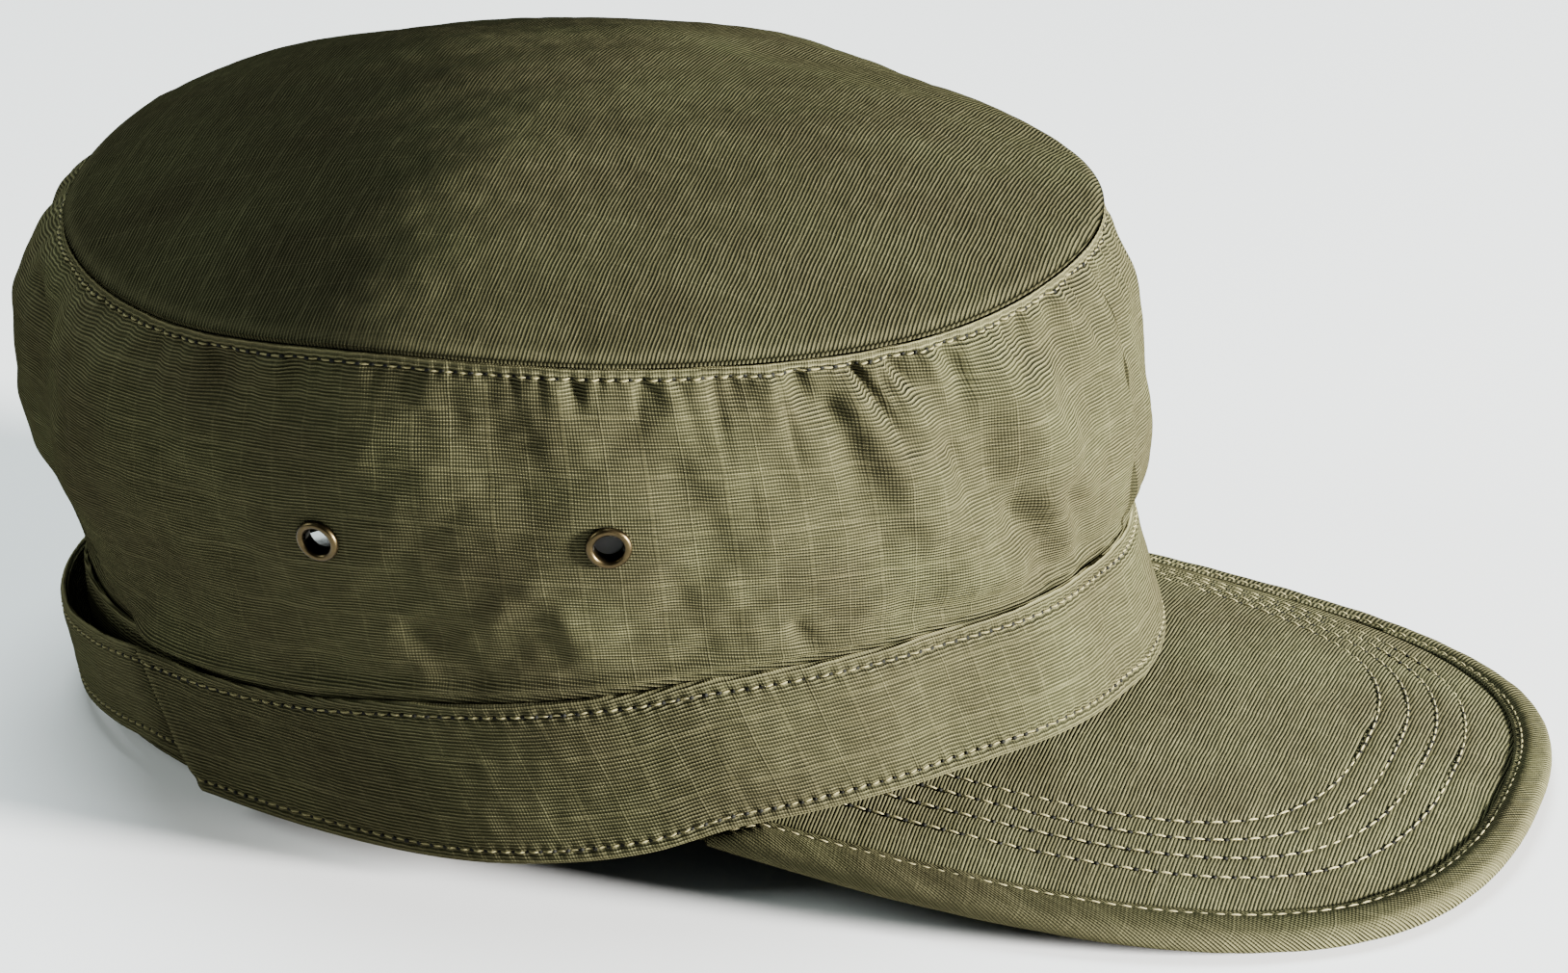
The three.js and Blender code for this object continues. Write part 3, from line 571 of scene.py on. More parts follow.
def wall_fold(turn, drop):
    depth = 0 * turn
    for *line, width, share in WALL_FOLDS:
        away, place = fold_line(turn, drop, line)
        swell = 0.55 + 0.45 * np.sin(math.pi * place)
        depth = depth + share * FOLD_DEPTH * bell(away, width * FOLD_WIDTH) * swell
    return depth * smooth_step(0, 0.16, drop) * (1 - smooth_step(0.88, 1, drop))


def gather(turn, drop):
    """Broad gathers under the seam, which the solids have too."""
    depth = 0 * turn
    fall = wall_fall(turn, drop)
    for place, length, share in GATHERS:
        fade = np.exp(-GATHER_FADE * (fall / (length * GATHER_LENGTH)) ** 2) * smooth_step(0, 0.05, drop)
        depth = depth - share * GATHER_DEPTH * bell(turn_between(turn, place), GATHER_TURN) * fade
    return depth


def wall_bulge(turn, drop):
    columns = [table(BULGES, name, turn) for name in ("shoulder", "upper", "middle", "lower")]
    zero = 0 * columns[0]
    values = np.stack([-columns[0], zero, *columns, zero, -columns[-1]], axis=-1)
    knots = (-BULGE_DROPS[1], *BULGE_DROPS, 2 - BULGE_DROPS[-2])
    return BULGE_DEPTH * hermite(knots, values, drop)


def wall_point(turn, drop, extra=0):
    """Wall's outer face: drop is 0 at the seam, 1 at the band's top, and past 1 inside the band."""
    turn, drop = np.broadcast_arrays(np.asarray(turn, float), np.asarray(drop, float))
    tuck = -BAND_CLOTH - GAP - draw_in(turn)
    foot = TUCK_LENGTH / BAND_HEIGHT
    mouth = 1 + MOUTH_LIFT / BAND_HEIGHT
    hidden = band_point(turn, foot + (mouth - foot) * (2 - drop), tuck)
    high = seam_point(turn, 0, -TOP_CLOTH - 2 * GAP)
    low = band_point(turn, mouth + 0 * turn, tuck)
    shown = high + (low - high) * drop[..., None]
    angle = np.radians(turn)
    folds = (wall_fold(turn, drop) + gather(turn, drop)) * calm_near_eyelets(turn, drop)
    depth = wall_bulge(turn, drop) + folds + extra
    shown[..., 0] -= np.sin(angle) * depth
    shown[..., 1] -= np.cos(angle) * depth
    return np.where((drop > 1)[..., None], hidden, shown)


# Fine relief that only the visible cloth has


def wander(seed, count, low, high):
    """Smooth unevenness of two lengths in millimetres, the same on every run."""
    random = np.random.default_rng(seed)
    waves = []
    for _ in range(count):
        length = random.uniform(low, high)
        angle = random.uniform(0, math.tau)
        phase = random.uniform(0, math.tau)
        waves.append((math.tau / length * math.cos(angle), math.tau / length * math.sin(angle), phase))

    def value(first, second):
        total = 0 * first
        for step_first, step_second, phase in waves:
            total = total + np.sin(step_first * first + step_second * second + phase)
        return total / math.sqrt(count)

    return value


def pleats(seed, end, steps, *ranges):
    """Turns round the cap at random steps up to an end, each with a random value of every range."""
    random = np.random.default_rng(seed)
    place = 0.0
    while place < end:
        yield place, *(random.uniform(*limits) for limits in ranges)
        place += random.uniform(*steps)


def fine_gathers(turn, drop):
    """Small pleats that run down from the stitched seam, of uneven length and width."""
    fall = wall_fall(turn, drop)
    depth = 0 * turn
    ranges = ((0.5, 1.1), (3, 13), (0.35, 1.0), (-0.12, 0.12))
    for place, width, length, share, lean in pleats(11, 358, (2.0, 4.6), *ranges):
        near = np.abs(turn_between(turn[:, 0], place)) < 6
        away = turn_between(turn[near], place + lean * fall[near])
        fade = np.exp(-((fall[near] / length) ** 2)) * smooth_step(0.2, 2.4, fall[near])
        depth[near] -= share * bell(away, width) * fade
    return depth


def fine_folds(turn, drop):
    """Crisp folds, sharpest where they start and wider and shallower towards their end."""
    depth = 0 * turn
    for *line, width, height in FINE_FOLDS:
        near = np.abs(turn_between(turn[:, 0], line[0])) < FINE_FOLD_TURNS
        away, place = fold_line(turn[near], drop[near], line)
        fade = 1 - 0.6 * place**2
        depth[near] += FINE_FOLD_SHARE * height * bell(away, width * (1 + 0.8 * place)) * fade
    return depth * smooth_step(0.2, 3.0, wall_fall(turn, drop))


def seam_pucker(along, away, pitch, reach):
    """Cloth pulled down at each stitch of a row, and proud between them."""
    return SEAM_PUCKER * np.cos(math.tau * along / pitch) * bell(away, reach)


# Mesh building


def grid_normals(points, closed):
    """Unit normals of a grid of points, along by across."""
    if closed:
        along = np.roll(points, -1, axis=0) - np.roll(points, 1, axis=0)
    else:
        along = np.gradient(points, axis=0)
    return unit(np.cross(along, np.gradient(points, axis=1)))


def grid_faces(rows, columns, start, closed, flip):
    last = rows if closed else rows - 1
    i, j = np.meshgrid(np.arange(last), np.arange(columns - 1), indexing="ij")
    after = (i + 1) % rows
    corners = [i * columns + j, after * columns + j, after * columns + j + 1, i * columns + j + 1]
    if flip:
        corners = corners[::-1]
    return np.stack([corner.ravel() + start for corner in corners], axis=1)


def side_faces(fine, coarse, picks, closed, flip):
    """Faces between an edge of the fine outer grid and the same edge of the coarse inner grid."""
    if closed:
        fine = np.append(fine, fine[0])
        coarse = np.append(coarse, coarse[0])
        picks = np.append(picks, len(fine) - 1)
    faces = []
    for j in range(len(picks) - 1):
        face = [*fine[picks[j] : picks[j + 1] + 1], coarse[j + 1], coarse[j]]
        faces.append(face[::-1] if flip else face)
    return faces


def coarse_picks(count, closed):
    """Grid lines that the hidden inner face keeps: each fourth, and the last few of an open grid."""
    picks = np.arange(0, count, INNER_STEP)
    return picks if closed else np.unique(np.append(picks, np.arange(count - 2 * INNER_STEP, count)))


def make_object(name, points, faces, material, uvs=None, shade=None):
    """Mesh object from millimetre points of the cap's frame, with per-vertex weave UVs, and wear with
    painted light and painted shade.
    """
    mesh = bpy.data.meshes.new(name)
    placed = (np.asarray(points) + SHIFT) * MM
    mesh.from_pydata(placed.tolist(), [], [list(face) for face in faces])
    mesh.validate()
    if uvs is not None:
        layer = mesh.uv_layers.new(name="weave")
        loops = np.empty(len(mesh.loops), dtype=np.int32)
        mesh.loops.foreach_get("vertex_index", loops)
        layer.data.foreach_set("uv", np.asarray(uvs)[loops].ravel())
    if shade is not None:
        layer = mesh.attributes.new("wear_and_painted_light", "FLOAT", "POINT")
        layer.data.foreach_set("value", np.asarray(shade, float))
    mesh.shade_smooth()
    mesh.materials.append(material)
    piece = bpy.data.objects.new(name, mesh)
    bpy.context.scene.collection.objects.link(piece)
    return piece


def tube_faces(sides, rings):
    """Side faces of a tube of rings of points, and its two end caps."""
    quads = []
    for i in range(0, (rings - 1) * sides, sides):
        for j in range(sides):
            after = (j + 1) % sides
            quads.append((i + j, i + after, i + sides + after, i + sides + j))
    size = rings * sides
    return quads, [tuple(range(sides))[::-1], tuple(range(size - sides, size))]


def ring_angles(sides):
    return np.arange(sides) / sides * math.tau


def cloth_object(name, outer, inner, uvs, closed, material, shade):
    """Sheet with a fine outer face, a coarser inner face and closed edges. Grids are along by across."""
    rows, columns = outer.shape[:2]
    row_picks = coarse_picks(rows, closed)
    column_picks = coarse_picks(columns, False)
    kept = np.ix_(row_picks, column_picks)
    points = np.concatenate([outer.reshape(-1, 3), inner[kept].reshape(-1, 3)])
    numbers = np.arange(rows * columns).reshape(rows, columns)
    under = np.arange(len(row_picks) * len(column_picks)).reshape(len(row_picks), -1) + rows * columns
    faces = grid_faces(rows, columns, 0, closed, False).tolist()
    faces += grid_faces(len(row_picks), len(column_picks), rows * columns, closed, True).tolist()
    faces += side_faces(numbers[:, 0], under[:, 0], row_picks, closed, False)
    faces += side_faces(numbers[:, -1], under[:, -1], row_picks, closed, True)
    if not closed:
        faces += side_faces(numbers[0], under[0], column_picks, False, True)
        faces += side_faces(numbers[-1], under[-1], column_picks, False, False)
    both = np.concatenate([uvs.reshape(-1, 2), uvs[kept].reshape(-1, 2)])
    wear_and_painted_light = np.concatenate([shade.ravel(), np.zeros(under.size)])
    return face_out(make_object(name, points, faces, material, both, wear_and_painted_light))


def face_out(piece):
    """Turns all faces out when the enclosed volume comes out negative."""
    mesh = piece.data
    count = len(mesh.vertices)
    places = np.empty(count * 3)
    mesh.vertices.foreach_get("co", places)
    places = places.reshape(-1, 3)
    mesh.calc_loop_triangles()
    triangles = np.empty(len(mesh.loop_triangles) * 3, dtype=np.int32)
    mesh.loop_triangles.foreach_get("vertices", triangles)
    corners = places[triangles.reshape(-1, 3)]
    volume = np.einsum("ij,ij->i", corners[:, 0], np.cross(corners[:, 1], corners[:, 2])).sum()
    if volume < 0:
        mesh.flip_normals()
    return piece


def settle(piece, slot, *nodes):
    """Every piece rides on the one body and may stand for CAD nodes, whose parts it hides. The slot is not
    used.
    """
    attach(piece, "root")
    if nodes:
        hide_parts(*nodes)


# Stitches


def spread(whole, pitch):
    """Number of stitches that a length takes, and the pitch that spreads them evenly."""
    count = max(int(whole / pitch), 1)
    return count, whole / count


def frame_along(path, normals, places):
    """Points at lengths along a path, with the cloth's normal, the side and the forward direction."""
    run = lengths_along(path)

    def at(values):
        return np.stack([np.interp(places, run, values[:, k]) for k in range(3)], axis=-1)

    centre = at(path)
    normal = unit(at(normals))
    along = unit(np.gradient(centre, axis=places.ndim - 1))
    return centre, normal, np.cross(along, normal), along


def repeat_tubes(points, sides, rings):
    """Points, side faces and end caps of many closed tubes, from a grid whose first index is the tube."""
    base = (np.arange(len(points)) * sides * rings)[:, None, None]
    quads, caps = (np.array(faces)[None] + base for faces in tube_faces(sides, rings))
    return points.reshape(-1, 3), quads.reshape(-1, 4), caps.reshape(-1, sides)


def stitch_row(path, normals, stitch):
    """Thread segments along a path on the cloth: each dives into the cloth at both ends."""
    pitch, length, thick = stitch
    count, pitch = spread(lengths_along(path)[-1], pitch)
    length = min(length, 0.9 * pitch)
    shares = np.linspace(0, 1, STITCH_RINGS)
    start = (np.arange(count) + 0.5) * pitch - length / 2
    centre, normal, side, _ = frame_along(path, normals, start[:, None] + shares * length)
    arch = np.sin(math.pi * shares)
    centre = centre + normal * (thick * (0.42 * arch - 0.12))[:, None]
    radius = thick / 2 * (0.55 + 0.45 * arch)
    angles = ring_angles(STITCH_SIDES)[:, None]
    ring = side[:, :, None] * np.cos(angles) + normal[:, :, None] * np.sin(angles)
    return repeat_tubes(centre[:, :, None] + ring * radius[:, None, None], STITCH_SIDES, STITCH_RINGS)


def needle_holes(path, normals, pitch):
    """Small dimples between the stitches of a row, each a closed low lens, near black as painted shade."""
    whole = lengths_along(path)[-1]
    count, _ = spread(whole, pitch)
    centre, normal, side, along = frame_along(path, normals, np.arange(1, count) * whole / count)
    angles = ring_angles(HOLE_SIDES)[:, None]
    wide = along[:, None] * np.cos(angles) * HOLE_REACH + side[:, None] * np.sin(angles) * HOLE_HALF_WIDTH
    high = centre[:, None] + wide + normal[:, None] * HOLE_LIP
    low = centre[:, None] + wide * HOLE_TAPER - normal[:, None] * HOLE_DEPTH
    return repeat_tubes(np.concatenate([high, low], axis=1), HOLE_SIDES, 2)


def path_on(outer, normals, line):
    """Path over a grid, at a column with a fraction for each row, and the cloth's normals along it."""
    index = np.arange(len(outer))
    low = np.minimum(np.floor(line).astype(int), outer.shape[1] - 2)
    share = (line - low)[:, None]
    return outer[index, low] * (1 - share) + outer[index, low + 1] * share, normals[index, low]


def settle_rows(name, rows, holes, thread, hole):
    settle(stitch_object(name + "_stitches", rows, thread), "cloth")
    settle(stitch_object(name + "_needle_holes", holes, hole), "cloth")


def stitch_object(name, rows, material):
    """One piece of all the small tubes of some rows."""
    points = []
    faces = []
    start = 0
    for row_points, quads, ends in rows:
        points.append(row_points)
        faces.extend((quads + start).tolist())
        faces.extend((ends + start).tolist())
        start += len(row_points)
    return make_object(name, np.concatenate(points), faces, material)


# Materials


class Graph:
    """A new material, with short calls for the nodes that it is made of."""

    def __init__(self, name):
        self.material = bpy.data.materials.new(name)
        self.material.use_nodes = True
        self.tree = self.material.node_tree
        self.shader = self.tree.nodes["Principled BSDF"]

    def add(self, kind, **settings):
        node = self.tree.nodes.new(kind)
        for name, value in settings.items():
            setattr(node, name, value)
        return node

    def put(self, node, **values):
        """Sets a node's sockets, named with _ for a space, to a number, a colour or another's output."""
        for name, value in values.items():
            self.fill(node.inputs[name.replace("_", " ")], value)

    def fill(self, socket, value):
        if isinstance(value, bpy.types.NodeSocket):
            self.tree.links.new(value, socket)
        else:
            socket.default_value = (*value, 1) if socket.type == "RGBA" else value

    def math(self, operation, *values):
        node = self.add("ShaderNodeMath", operation=operation)
        for socket, value in zip(node.inputs, values):
            self.fill(socket, value)
        return node.outputs[0]

    def plus(self, first, second):
        return self.math("ADD", first, second)

    def times(self, first, second):
        return self.math("MULTIPLY", first, second)

    def scaled(self, value, factor, offset):
        return self.math("MULTIPLY_ADD", value, factor, offset)

    def clamped(self, value):
        return self.math("MINIMUM", self.math("MAXIMUM", value, 0.0), 1.0)

    def mix(self, share, first, second):
        """Colour that goes from the first to the second as the share goes from 0 to 1."""
        node = self.add("ShaderNodeMix", data_type="RGBA")
        for index, value in ((0, share), (6, first), (7, second)):
            self.fill(node.inputs[index], value)
        return node.outputs[2]

    def noise(self, vector, scale, detail=2.0, rough=0.5):
        node = self.add("ShaderNodeTexNoise")
        self.put(node, Vector=vector, Scale=scale, Detail=detail, Roughness=rough)
        return node.outputs["Fac"]

    def stretched(self, vector, scales):
        node = self.add("ShaderNodeVectorMath", operation="MULTIPLY")
        self.fill(node.inputs[0], vector)
        self.fill(node.inputs[1], scales)
        return node.outputs["Vector"]

    def ribs(self, coordinate, pitch):
        """Rounded threads side by side: 1 on each thread and 0 between two."""
        return self.scaled(self.math("SINE", self.times(coordinate, math.tau / pitch)), 0.5, 0.5)

    def rip_line(self, coordinate, spacing):
        """1 on a thicker thread that comes back at each spacing."""
        share = self.math("FRACT", self.math("DIVIDE", coordinate, spacing))
        away = self.math("ABSOLUTE", self.plus(share, -0.5))
        near = self.math("SUBTRACT", RIP_HALF_WIDTH / spacing, away)
        return self.math("MAXIMUM", self.times(near, spacing / RIP_HALF_WIDTH), 0.0)

    def finish(self, colour, rough, height, strength, distance):
        """The material, with this colour, roughness and bump."""
        bump = self.add("ShaderNodeBump")
        self.put(bump, Strength=strength, Distance=distance, Height=height)
        self.put(self.shader, Base_Color=colour, Roughness=rough, Normal=bump.outputs["Normal"])
        return self.material


def cloth_material(name, angle=0, tints=OLIVE_TINTS):
    """Ripstop: fine ribs one way, thicker threads both ways, uneven dye, rubbed places, and painted light
    and painted shade.
    """
    graph = Graph(name)
    light, middle, dark = tints
    uv = graph.add("ShaderNodeUVMap", uv_map="weave").outputs["UV"]
    turn = graph.add("ShaderNodeVectorRotate", rotation_type="Z_AXIS")
    graph.put(turn, Vector=uv, Angle=math.radians(angle))
    weave = turn.outputs["Vector"]
    split = graph.add("ShaderNodeSeparateXYZ")
    graph.put(split, Vector=weave)
    waver = graph.times(graph.plus(graph.noise(weave, 0.09), -0.5), RIB_WAVER)
    across = graph.plus(split.outputs["X"], waver)
    along = graph.plus(split.outputs["Y"], waver)
    slub = graph.noise(graph.stretched(weave, (0.16, 2.2, 1)), 1.0, 3.0, 0.6)
    grain = graph.noise(graph.stretched(weave, (2.2, 0.3, 1)), 1.0, 3.0, 0.6)

    thread = graph.ribs(along, RIB_PITCH)
    warp = graph.ribs(across, WARP_PITCH)
    rip = graph.rip_line(across, RIP_SPACING)
    rip = graph.math("MAXIMUM", rip, graph.rip_line(along, RIP_ALONG_SPACING))
    relief = graph.times(thread, 0.8)
    for part, share in ((warp, 0.12), (slub, 0.7), (rip, 0.12)):
        relief = graph.plus(relief, graph.times(part, share))

    body = graph.mix(graph.scaled(thread, 0.85, 0.15), dark, middle)
    fleck = graph.clamped(graph.scaled(slub, 1.7, -0.5))
    body = graph.mix(graph.times(fleck, graph.times(thread, 0.8)), body, light)
    pit = graph.clamped(graph.scaled(grain, -2.2, 1.0))
    body = graph.mix(graph.times(pit, 0.7), body, dark)
    body = graph.mix(graph.times(graph.times(rip, fleck), 0.32), body, light)
    patch = graph.plus(graph.noise(uv, 0.035, 3.0, 0.55), -0.5)
    hue = graph.add("ShaderNodeHueSaturation")
    graph.put(hue, Hue=graph.scaled(patch, 0.06, 0.5), Value=graph.scaled(patch, 0.7, 1.0), Color=body)
    # This attribute holds wear and painted light above 0, and painted shade below 0
    wear_and_painted_light = graph.add("ShaderNodeAttribute", attribute_name="wear_and_painted_light").outputs["Fac"]
    worn_and_painted_light = graph.math("MAXIMUM", wear_and_painted_light, 0.0)
    shaded = graph.math("MAXIMUM", graph.times(wear_and_painted_light, -1.0), 0.0)
    # Wear and painted light mix the cloth towards its light tint
    body = graph.mix(graph.times(worn_and_painted_light, 0.5), hue.outputs["Color"], light)
    # Painted shade: cloth that lies in the dark is mixed towards near black
    body = graph.mix(shaded, body, tuple(0.15 * part for part in dark))
    graph.put(graph.shader, Specular_IOR_Level=0.0)
    return graph.finish(body, graph.scaled(slub, 0.2, 0.72), relief, 1.0, 0.0005)


def thread_material(name, colour):
    """Twisted thread, or the painted shade of a needle hole."""
    graph = Graph(name)
    twist = graph.noise(graph.add("ShaderNodeTexCoord").outputs["Object"], 2600.0)
    body = graph.mix(twist, tuple(0.7 * part for part in colour), tuple(1.25 * part for part in colour))
    graph.put(graph.shader, Specular_IOR_Level=0.08)
    return graph.finish(body, 0.7, twist, 0.4, 0.0001)


def brass_material():
    """Darkened brass: a brown film of uneven thickness, with fine scratches."""
    graph = Graph("dark_brass")
    place = graph.add("ShaderNodeTexCoord").outputs["Object"]
    film = graph.noise(place, 420.0, 4.0, 0.6)
    scratch = graph.noise(place, 2400.0, 3.0, 0.6)
    graph.put(graph.shader, Metallic=1.0)
    body = graph.mix(film, BRASS_DARK, BRASS_LIGHT)
    return graph.finish(body, graph.scaled(film, 0.25, 0.2), scratch, 0.2, 0.0001)


# Pieces


def crown_wall(cloth, thread, hole):
    turns = np.arange(WALL_COLUMNS) / WALL_COLUMNS * 360
    even = np.linspace(0, 1, WALL_ROWS)
    drops = np.concatenate([even - 0.06 * np.sin(math.tau * even), HIDDEN_DROPS])
    turn, drop = np.meshgrid(turns, drops, indexing="ij")
    lap = wall_lap(turn)
    fall = wall_fall(turn, np.minimum(drop, 1))
    fade = smooth_step(0, 0.08, drop) * (1 - smooth_step(0.9, 1, drop))
    uneven = wander(3, 9, 9, 34)(lap, fall)
    crepe = wander(5, 9, 3.5, 9)(lap, fall)
    relief = WALL_UNEVEN * uneven * fade + WALL_CREPE * crepe * fade
    relief = relief + fine_gathers(turn, drop) + fine_folds(turn, drop)
    seam = fall - SEAM_STITCH_INSET
    groove = -STITCH_GROOVE * bell(seam, 0.7) + seam_pucker(lap, seam, FINE_STITCH[0], PUCKER_REACH)
    relief = relief * calm_near_eyelets(turn, drop) + groove * (drop < 0.5)
    rest = wall_fall(turn, 1 - np.minimum(drop, 1))
    before_slit = 1 - smooth_step(SLIT_TURN - 3, SLIT_TURN + 9, folded(turn))
    relief = relief + BAND_OVERHANG * (0.4 + 0.6 * before_slit) * bell(rest - 1.1, 1.5)
    relief = relief + draw_in(turn) * before_slit * bell(rest - 0.8, 7)
    outer = wall_point(turn, drop, np.where(drop > 1, 0, relief))
    outer[..., 2] += 0.5 * bell(fall, 0.6)
    normals = facing(grid_normals(wall_point(turn, drop), True), from_axis(outer))
    inner = outer - normals * (WALL_CLOTH - INNER_SLACK)
    below = (drop - np.minimum(drop, 1)) * (BAND_HEIGHT - TUCK_LENGTH)
    uvs = np.stack([lap, fall + below], axis=-1)
    # Lighter just under the seam, painted shade along the stitch groove and on the rows hidden inside the
    # band
    wear_and_painted_light = 0.3 * bell(fall - 0.6, 0.5) - 0.3 * bell(seam, 0.4) + HIDDEN_SHADE * (drop > 1)
    piece = cloth_object("wall_cloth", outer, inner, uvs, True, cloth, wear_and_painted_light)
    cut_eyelet_holes(piece)
    settle(piece, "cloth", "crown_wall")

    seam_drops = SEAM_STITCH_INSET / np.maximum(wall_fall(turns, np.ones(WALL_COLUMNS)), 1)
    line = np.interp(seam_drops, drops, np.arange(len(drops)))
    out = facing(grid_normals(outer, True), from_axis(outer))
    path, normals = (np.concatenate([part, part[:1]]) for part in path_on(outer, out, line))
    rows = [stitch_row(path, normals, FINE_STITCH)]
    holes = [needle_holes(path, normals, FINE_STITCH[0])]
    settle_rows("wall", rows, holes, thread, hole)


def from_axis(points):
    """Level directions from the crown's upright axis to points."""
    return points * (1, 1, 0) - (0, CROWN_SET_BACK, 0)


def eyelet_seat(turn):
    """Middle of an eyelet on the wall's outer face, and its outward direction."""
    point = wall_point(turn, EYELET_DROP)
    along = wall_point(turn + 1.5, EYELET_DROP) - wall_point(turn - 1.5, EYELET_DROP)
    across = wall_point(turn, EYELET_DROP + 0.05) - wall_point(turn, EYELET_DROP - 0.05)
    return point, facing(unit(np.cross(along, across)), from_axis(point))


def cut_eyelet_holes(wall):
    """Holes through the wall for the barrels of the eyelets."""
    angles = ring_angles(DRILL_SIDES)
    ring = np.stack([np.cos(angles), np.sin(angles)], axis=1) * (EYELET_BORE / 2 + EYELET_METAL + GAP) * MM
    points = [(x, y, end * MM) for end in (-DRILL_REACH, DRILL_REACH) for x, y in ring]
    quads, caps = tube_faces(DRILL_SIDES, 2)
    for turn in eyelet_turns().values():
        point, normal = eyelet_seat(turn)
        mesh = bpy.data.meshes.new("drill")
        mesh.from_pydata(points, [], quads + caps)
        drill = bpy.data.objects.new("drill", mesh)
        bpy.context.scene.collection.objects.link(drill)
        spin = Vector((0, 0, 1)).rotation_difference(Vector(normal)).to_matrix().to_4x4()
        drill.matrix_world = Matrix.Translation(Vector((point + SHIFT) * MM)) @ spin
        cutter = wall.modifiers.new("hole", "BOOLEAN")
        cutter.operation = "DIFFERENCE"
        cutter.solver = "EXACT"
        cutter.object = drill
        bpy.context.view_layer.update()
        evaluated = wall.evaluated_get(bpy.context.evaluated_depsgraph_get())
        cut = bpy.data.meshes.new_from_object(evaluated)
        wall.modifiers.clear()
        wall.data = cut
        bpy.data.objects.remove(drill)


def crown_top(cloth):
    turns = np.arange(TOP_COLUMNS) / TOP_COLUMNS * 360
    reaches = 1 - np.linspace(0, 1, TOP_RINGS) ** 1.25
    turn, reach = np.meshgrid(turns, reaches, indexing="ij")
    outer = top_point(turn, reach)
    x = outer[..., 0]
    y = outer[..., 1]
    away = (1 - reach) * CROWN_WIDTH / 2
    relief = TOP_UNEVEN * wander(21, 10, 16, 60)(x, y) + TOP_CREPE * wander(22, 9, 4, 10)(x, y)
    outer[..., 2] += relief * smooth_step(0, 6, away)
    outer[..., 2] += top_puckers(turn, away)
    outer[..., 2] -= TOP_EDGE_DIP * bell(away, 1.0)
    inner = outer - (0, 0, TOP_CLOTH - INNER_SLACK)
    inner[:, 0] = seam_point(turns, -0.4, INNER_SLACK - TOP_CLOTH)
    # Lighter near the edge, and painted shade in the seam at the very edge
    wear_and_painted_light = 0.4 * bell(away - 0.8, 1.2) - 0.5 * bell(away, 0.5)
    piece = cloth_object("top_cloth", outer, inner, outer[..., :2], True, cloth, wear_and_painted_light)
    merge_close(piece)
    settle(piece, "cloth", "crown_top")


def merge_close(piece):
    """Joins the points that meet in the middle of the round panel."""
    work = bmesh.new()
    work.from_mesh(piece.data)
    bmesh.ops.remove_doubles(work, verts=work.verts, dist=1e-6)
    work.to_mesh(piece.data)
    work.free()


def top_point(turn, reach):
    """Top panel's upper face: reach is 1 at the seam and 0 in the middle."""
    edge = seam_point(turn, 0, 0)
    point = edge * 0
    point[..., 0] = edge[..., 0] * reach
    point[..., 1] = CROWN_SET_BACK + (edge[..., 1] - CROWN_SET_BACK) * reach
    point[..., 2] = CROWN_HEIGHT + (edge[..., 2] - CROWN_HEIGHT) * reach**2
    back = (point[..., 1] - CROWN_SET_BACK) / (CROWN_LENGTH / 2)
    rise = DOME_RISE * (1 + DOME_SLANT * back + DOME_ENDS * back**2)
    for dent_turn, dent_reach, width, depth in TOP_DENTS:
        at = seam_point(np.array(float(dent_turn)), 0, 0)
        away = np.hypot(
            point[..., 0] - at[0] * dent_reach,
            point[..., 1] - CROWN_SET_BACK - (at[1] - CROWN_SET_BACK) * dent_reach,
        )
        rise = rise + depth * TOP_DENT_DEPTH * bell(away, width * CROWN_WIDTH)
    point[..., 2] += rise * np.maximum(1 - reach**2, 0) ** DOME_ROUNDNESS
    return point


def top_puckers(turn, away):
    """Short soft ripples that run in from the seam."""
    depth = 0 * turn
    ranges = ((0.8, 2.0), (3, 13), (-0.45, 0.2))
    for place, width, length, share in pleats(31, 357, (3.5, 8), *ranges):
        near = np.abs(turn_between(turn[:, 0], place)) < 7
        fade = np.exp(-((away[near] / length) ** 2)) * smooth_step(0, 2.0, away[near])
        depth[near] += share * bell(turn_between(turn[near], place), width) * fade
    return depth


def edge_roll(away, radius):
    """How far a face falls back near a folded edge."""
    share = np.clip(1 - away / radius, 0, 1)
    return radius * (1 - np.sqrt(np.maximum(1 - share**2, 0)))


def strip(name, node, count, seed, lap, height, thick, point_at, form, insets, looks):
    """Folded strip with rounded edges and a stitch groove near each, and its rows of stitches.

    Insets are distances of the rows from the lower edge, or from the upper edge if negative."""
    cloth, thread, hole = looks
    shares = 0.5 - 0.5 * np.cos(np.linspace(0, math.pi, STRIP_COLUMNS))
    place, rise = np.meshgrid(np.linspace(0, 1, count), shares, indexing="ij")
    run = place * lap
    high = height(place) * rise
    away = np.minimum(high, height(place) - high)
    uneven = wander(seed, 8, 10, 40)(run, high)
    crepe = wander(seed + 1, 8, 3, 8)(run, high)
    relief = STRIP_UNEVEN * uneven + STRIP_CREPE * crepe
    relief = relief * smooth_step(0, 5, away) - STITCH_GROOVE * bell(away - STITCH_INSET, 0.65)
    relief = relief + seam_pucker(run, away - STITCH_INSET, FINE_STITCH[0], PUCKER_REACH)
    lift, shade = form(place, rise)
    roll = edge_roll(away, thick / 2)
    outer = point_at(place, rise, relief + lift - roll)
    inner = point_at(place, rise, lift - thick + roll)
    normals = facing(grid_normals(outer, False), outer - inner)
    uvs = np.stack([run, high], axis=-1)
    # Lighter at the folded edges, painted shade along the stitch grooves, and the piece's own painted
    # light and shade
    wear_and_painted_light = 0.4 * bell(away - 0.3, 0.6) - 0.4 * bell(away - STITCH_INSET, 0.4) + shade
    settle(cloth_object(name + "_cloth", outer, inner, uvs, False, cloth, wear_and_painted_light), "cloth", node)

    rows = []
    holes = []
    for inset in insets:
        share = inset / height(place[:, 0])
        line = np.interp(np.where(share > 0, share, 1 + share), shares, np.arange(STRIP_COLUMNS))
        path, out = path_on(outer, normals, line)
        rows.append(stitch_row(path, out, FINE_STITCH))
        holes.append(needle_holes(path, out, FINE_STITCH[0]))
    settle_rows(name, rows, holes, thread, hole)


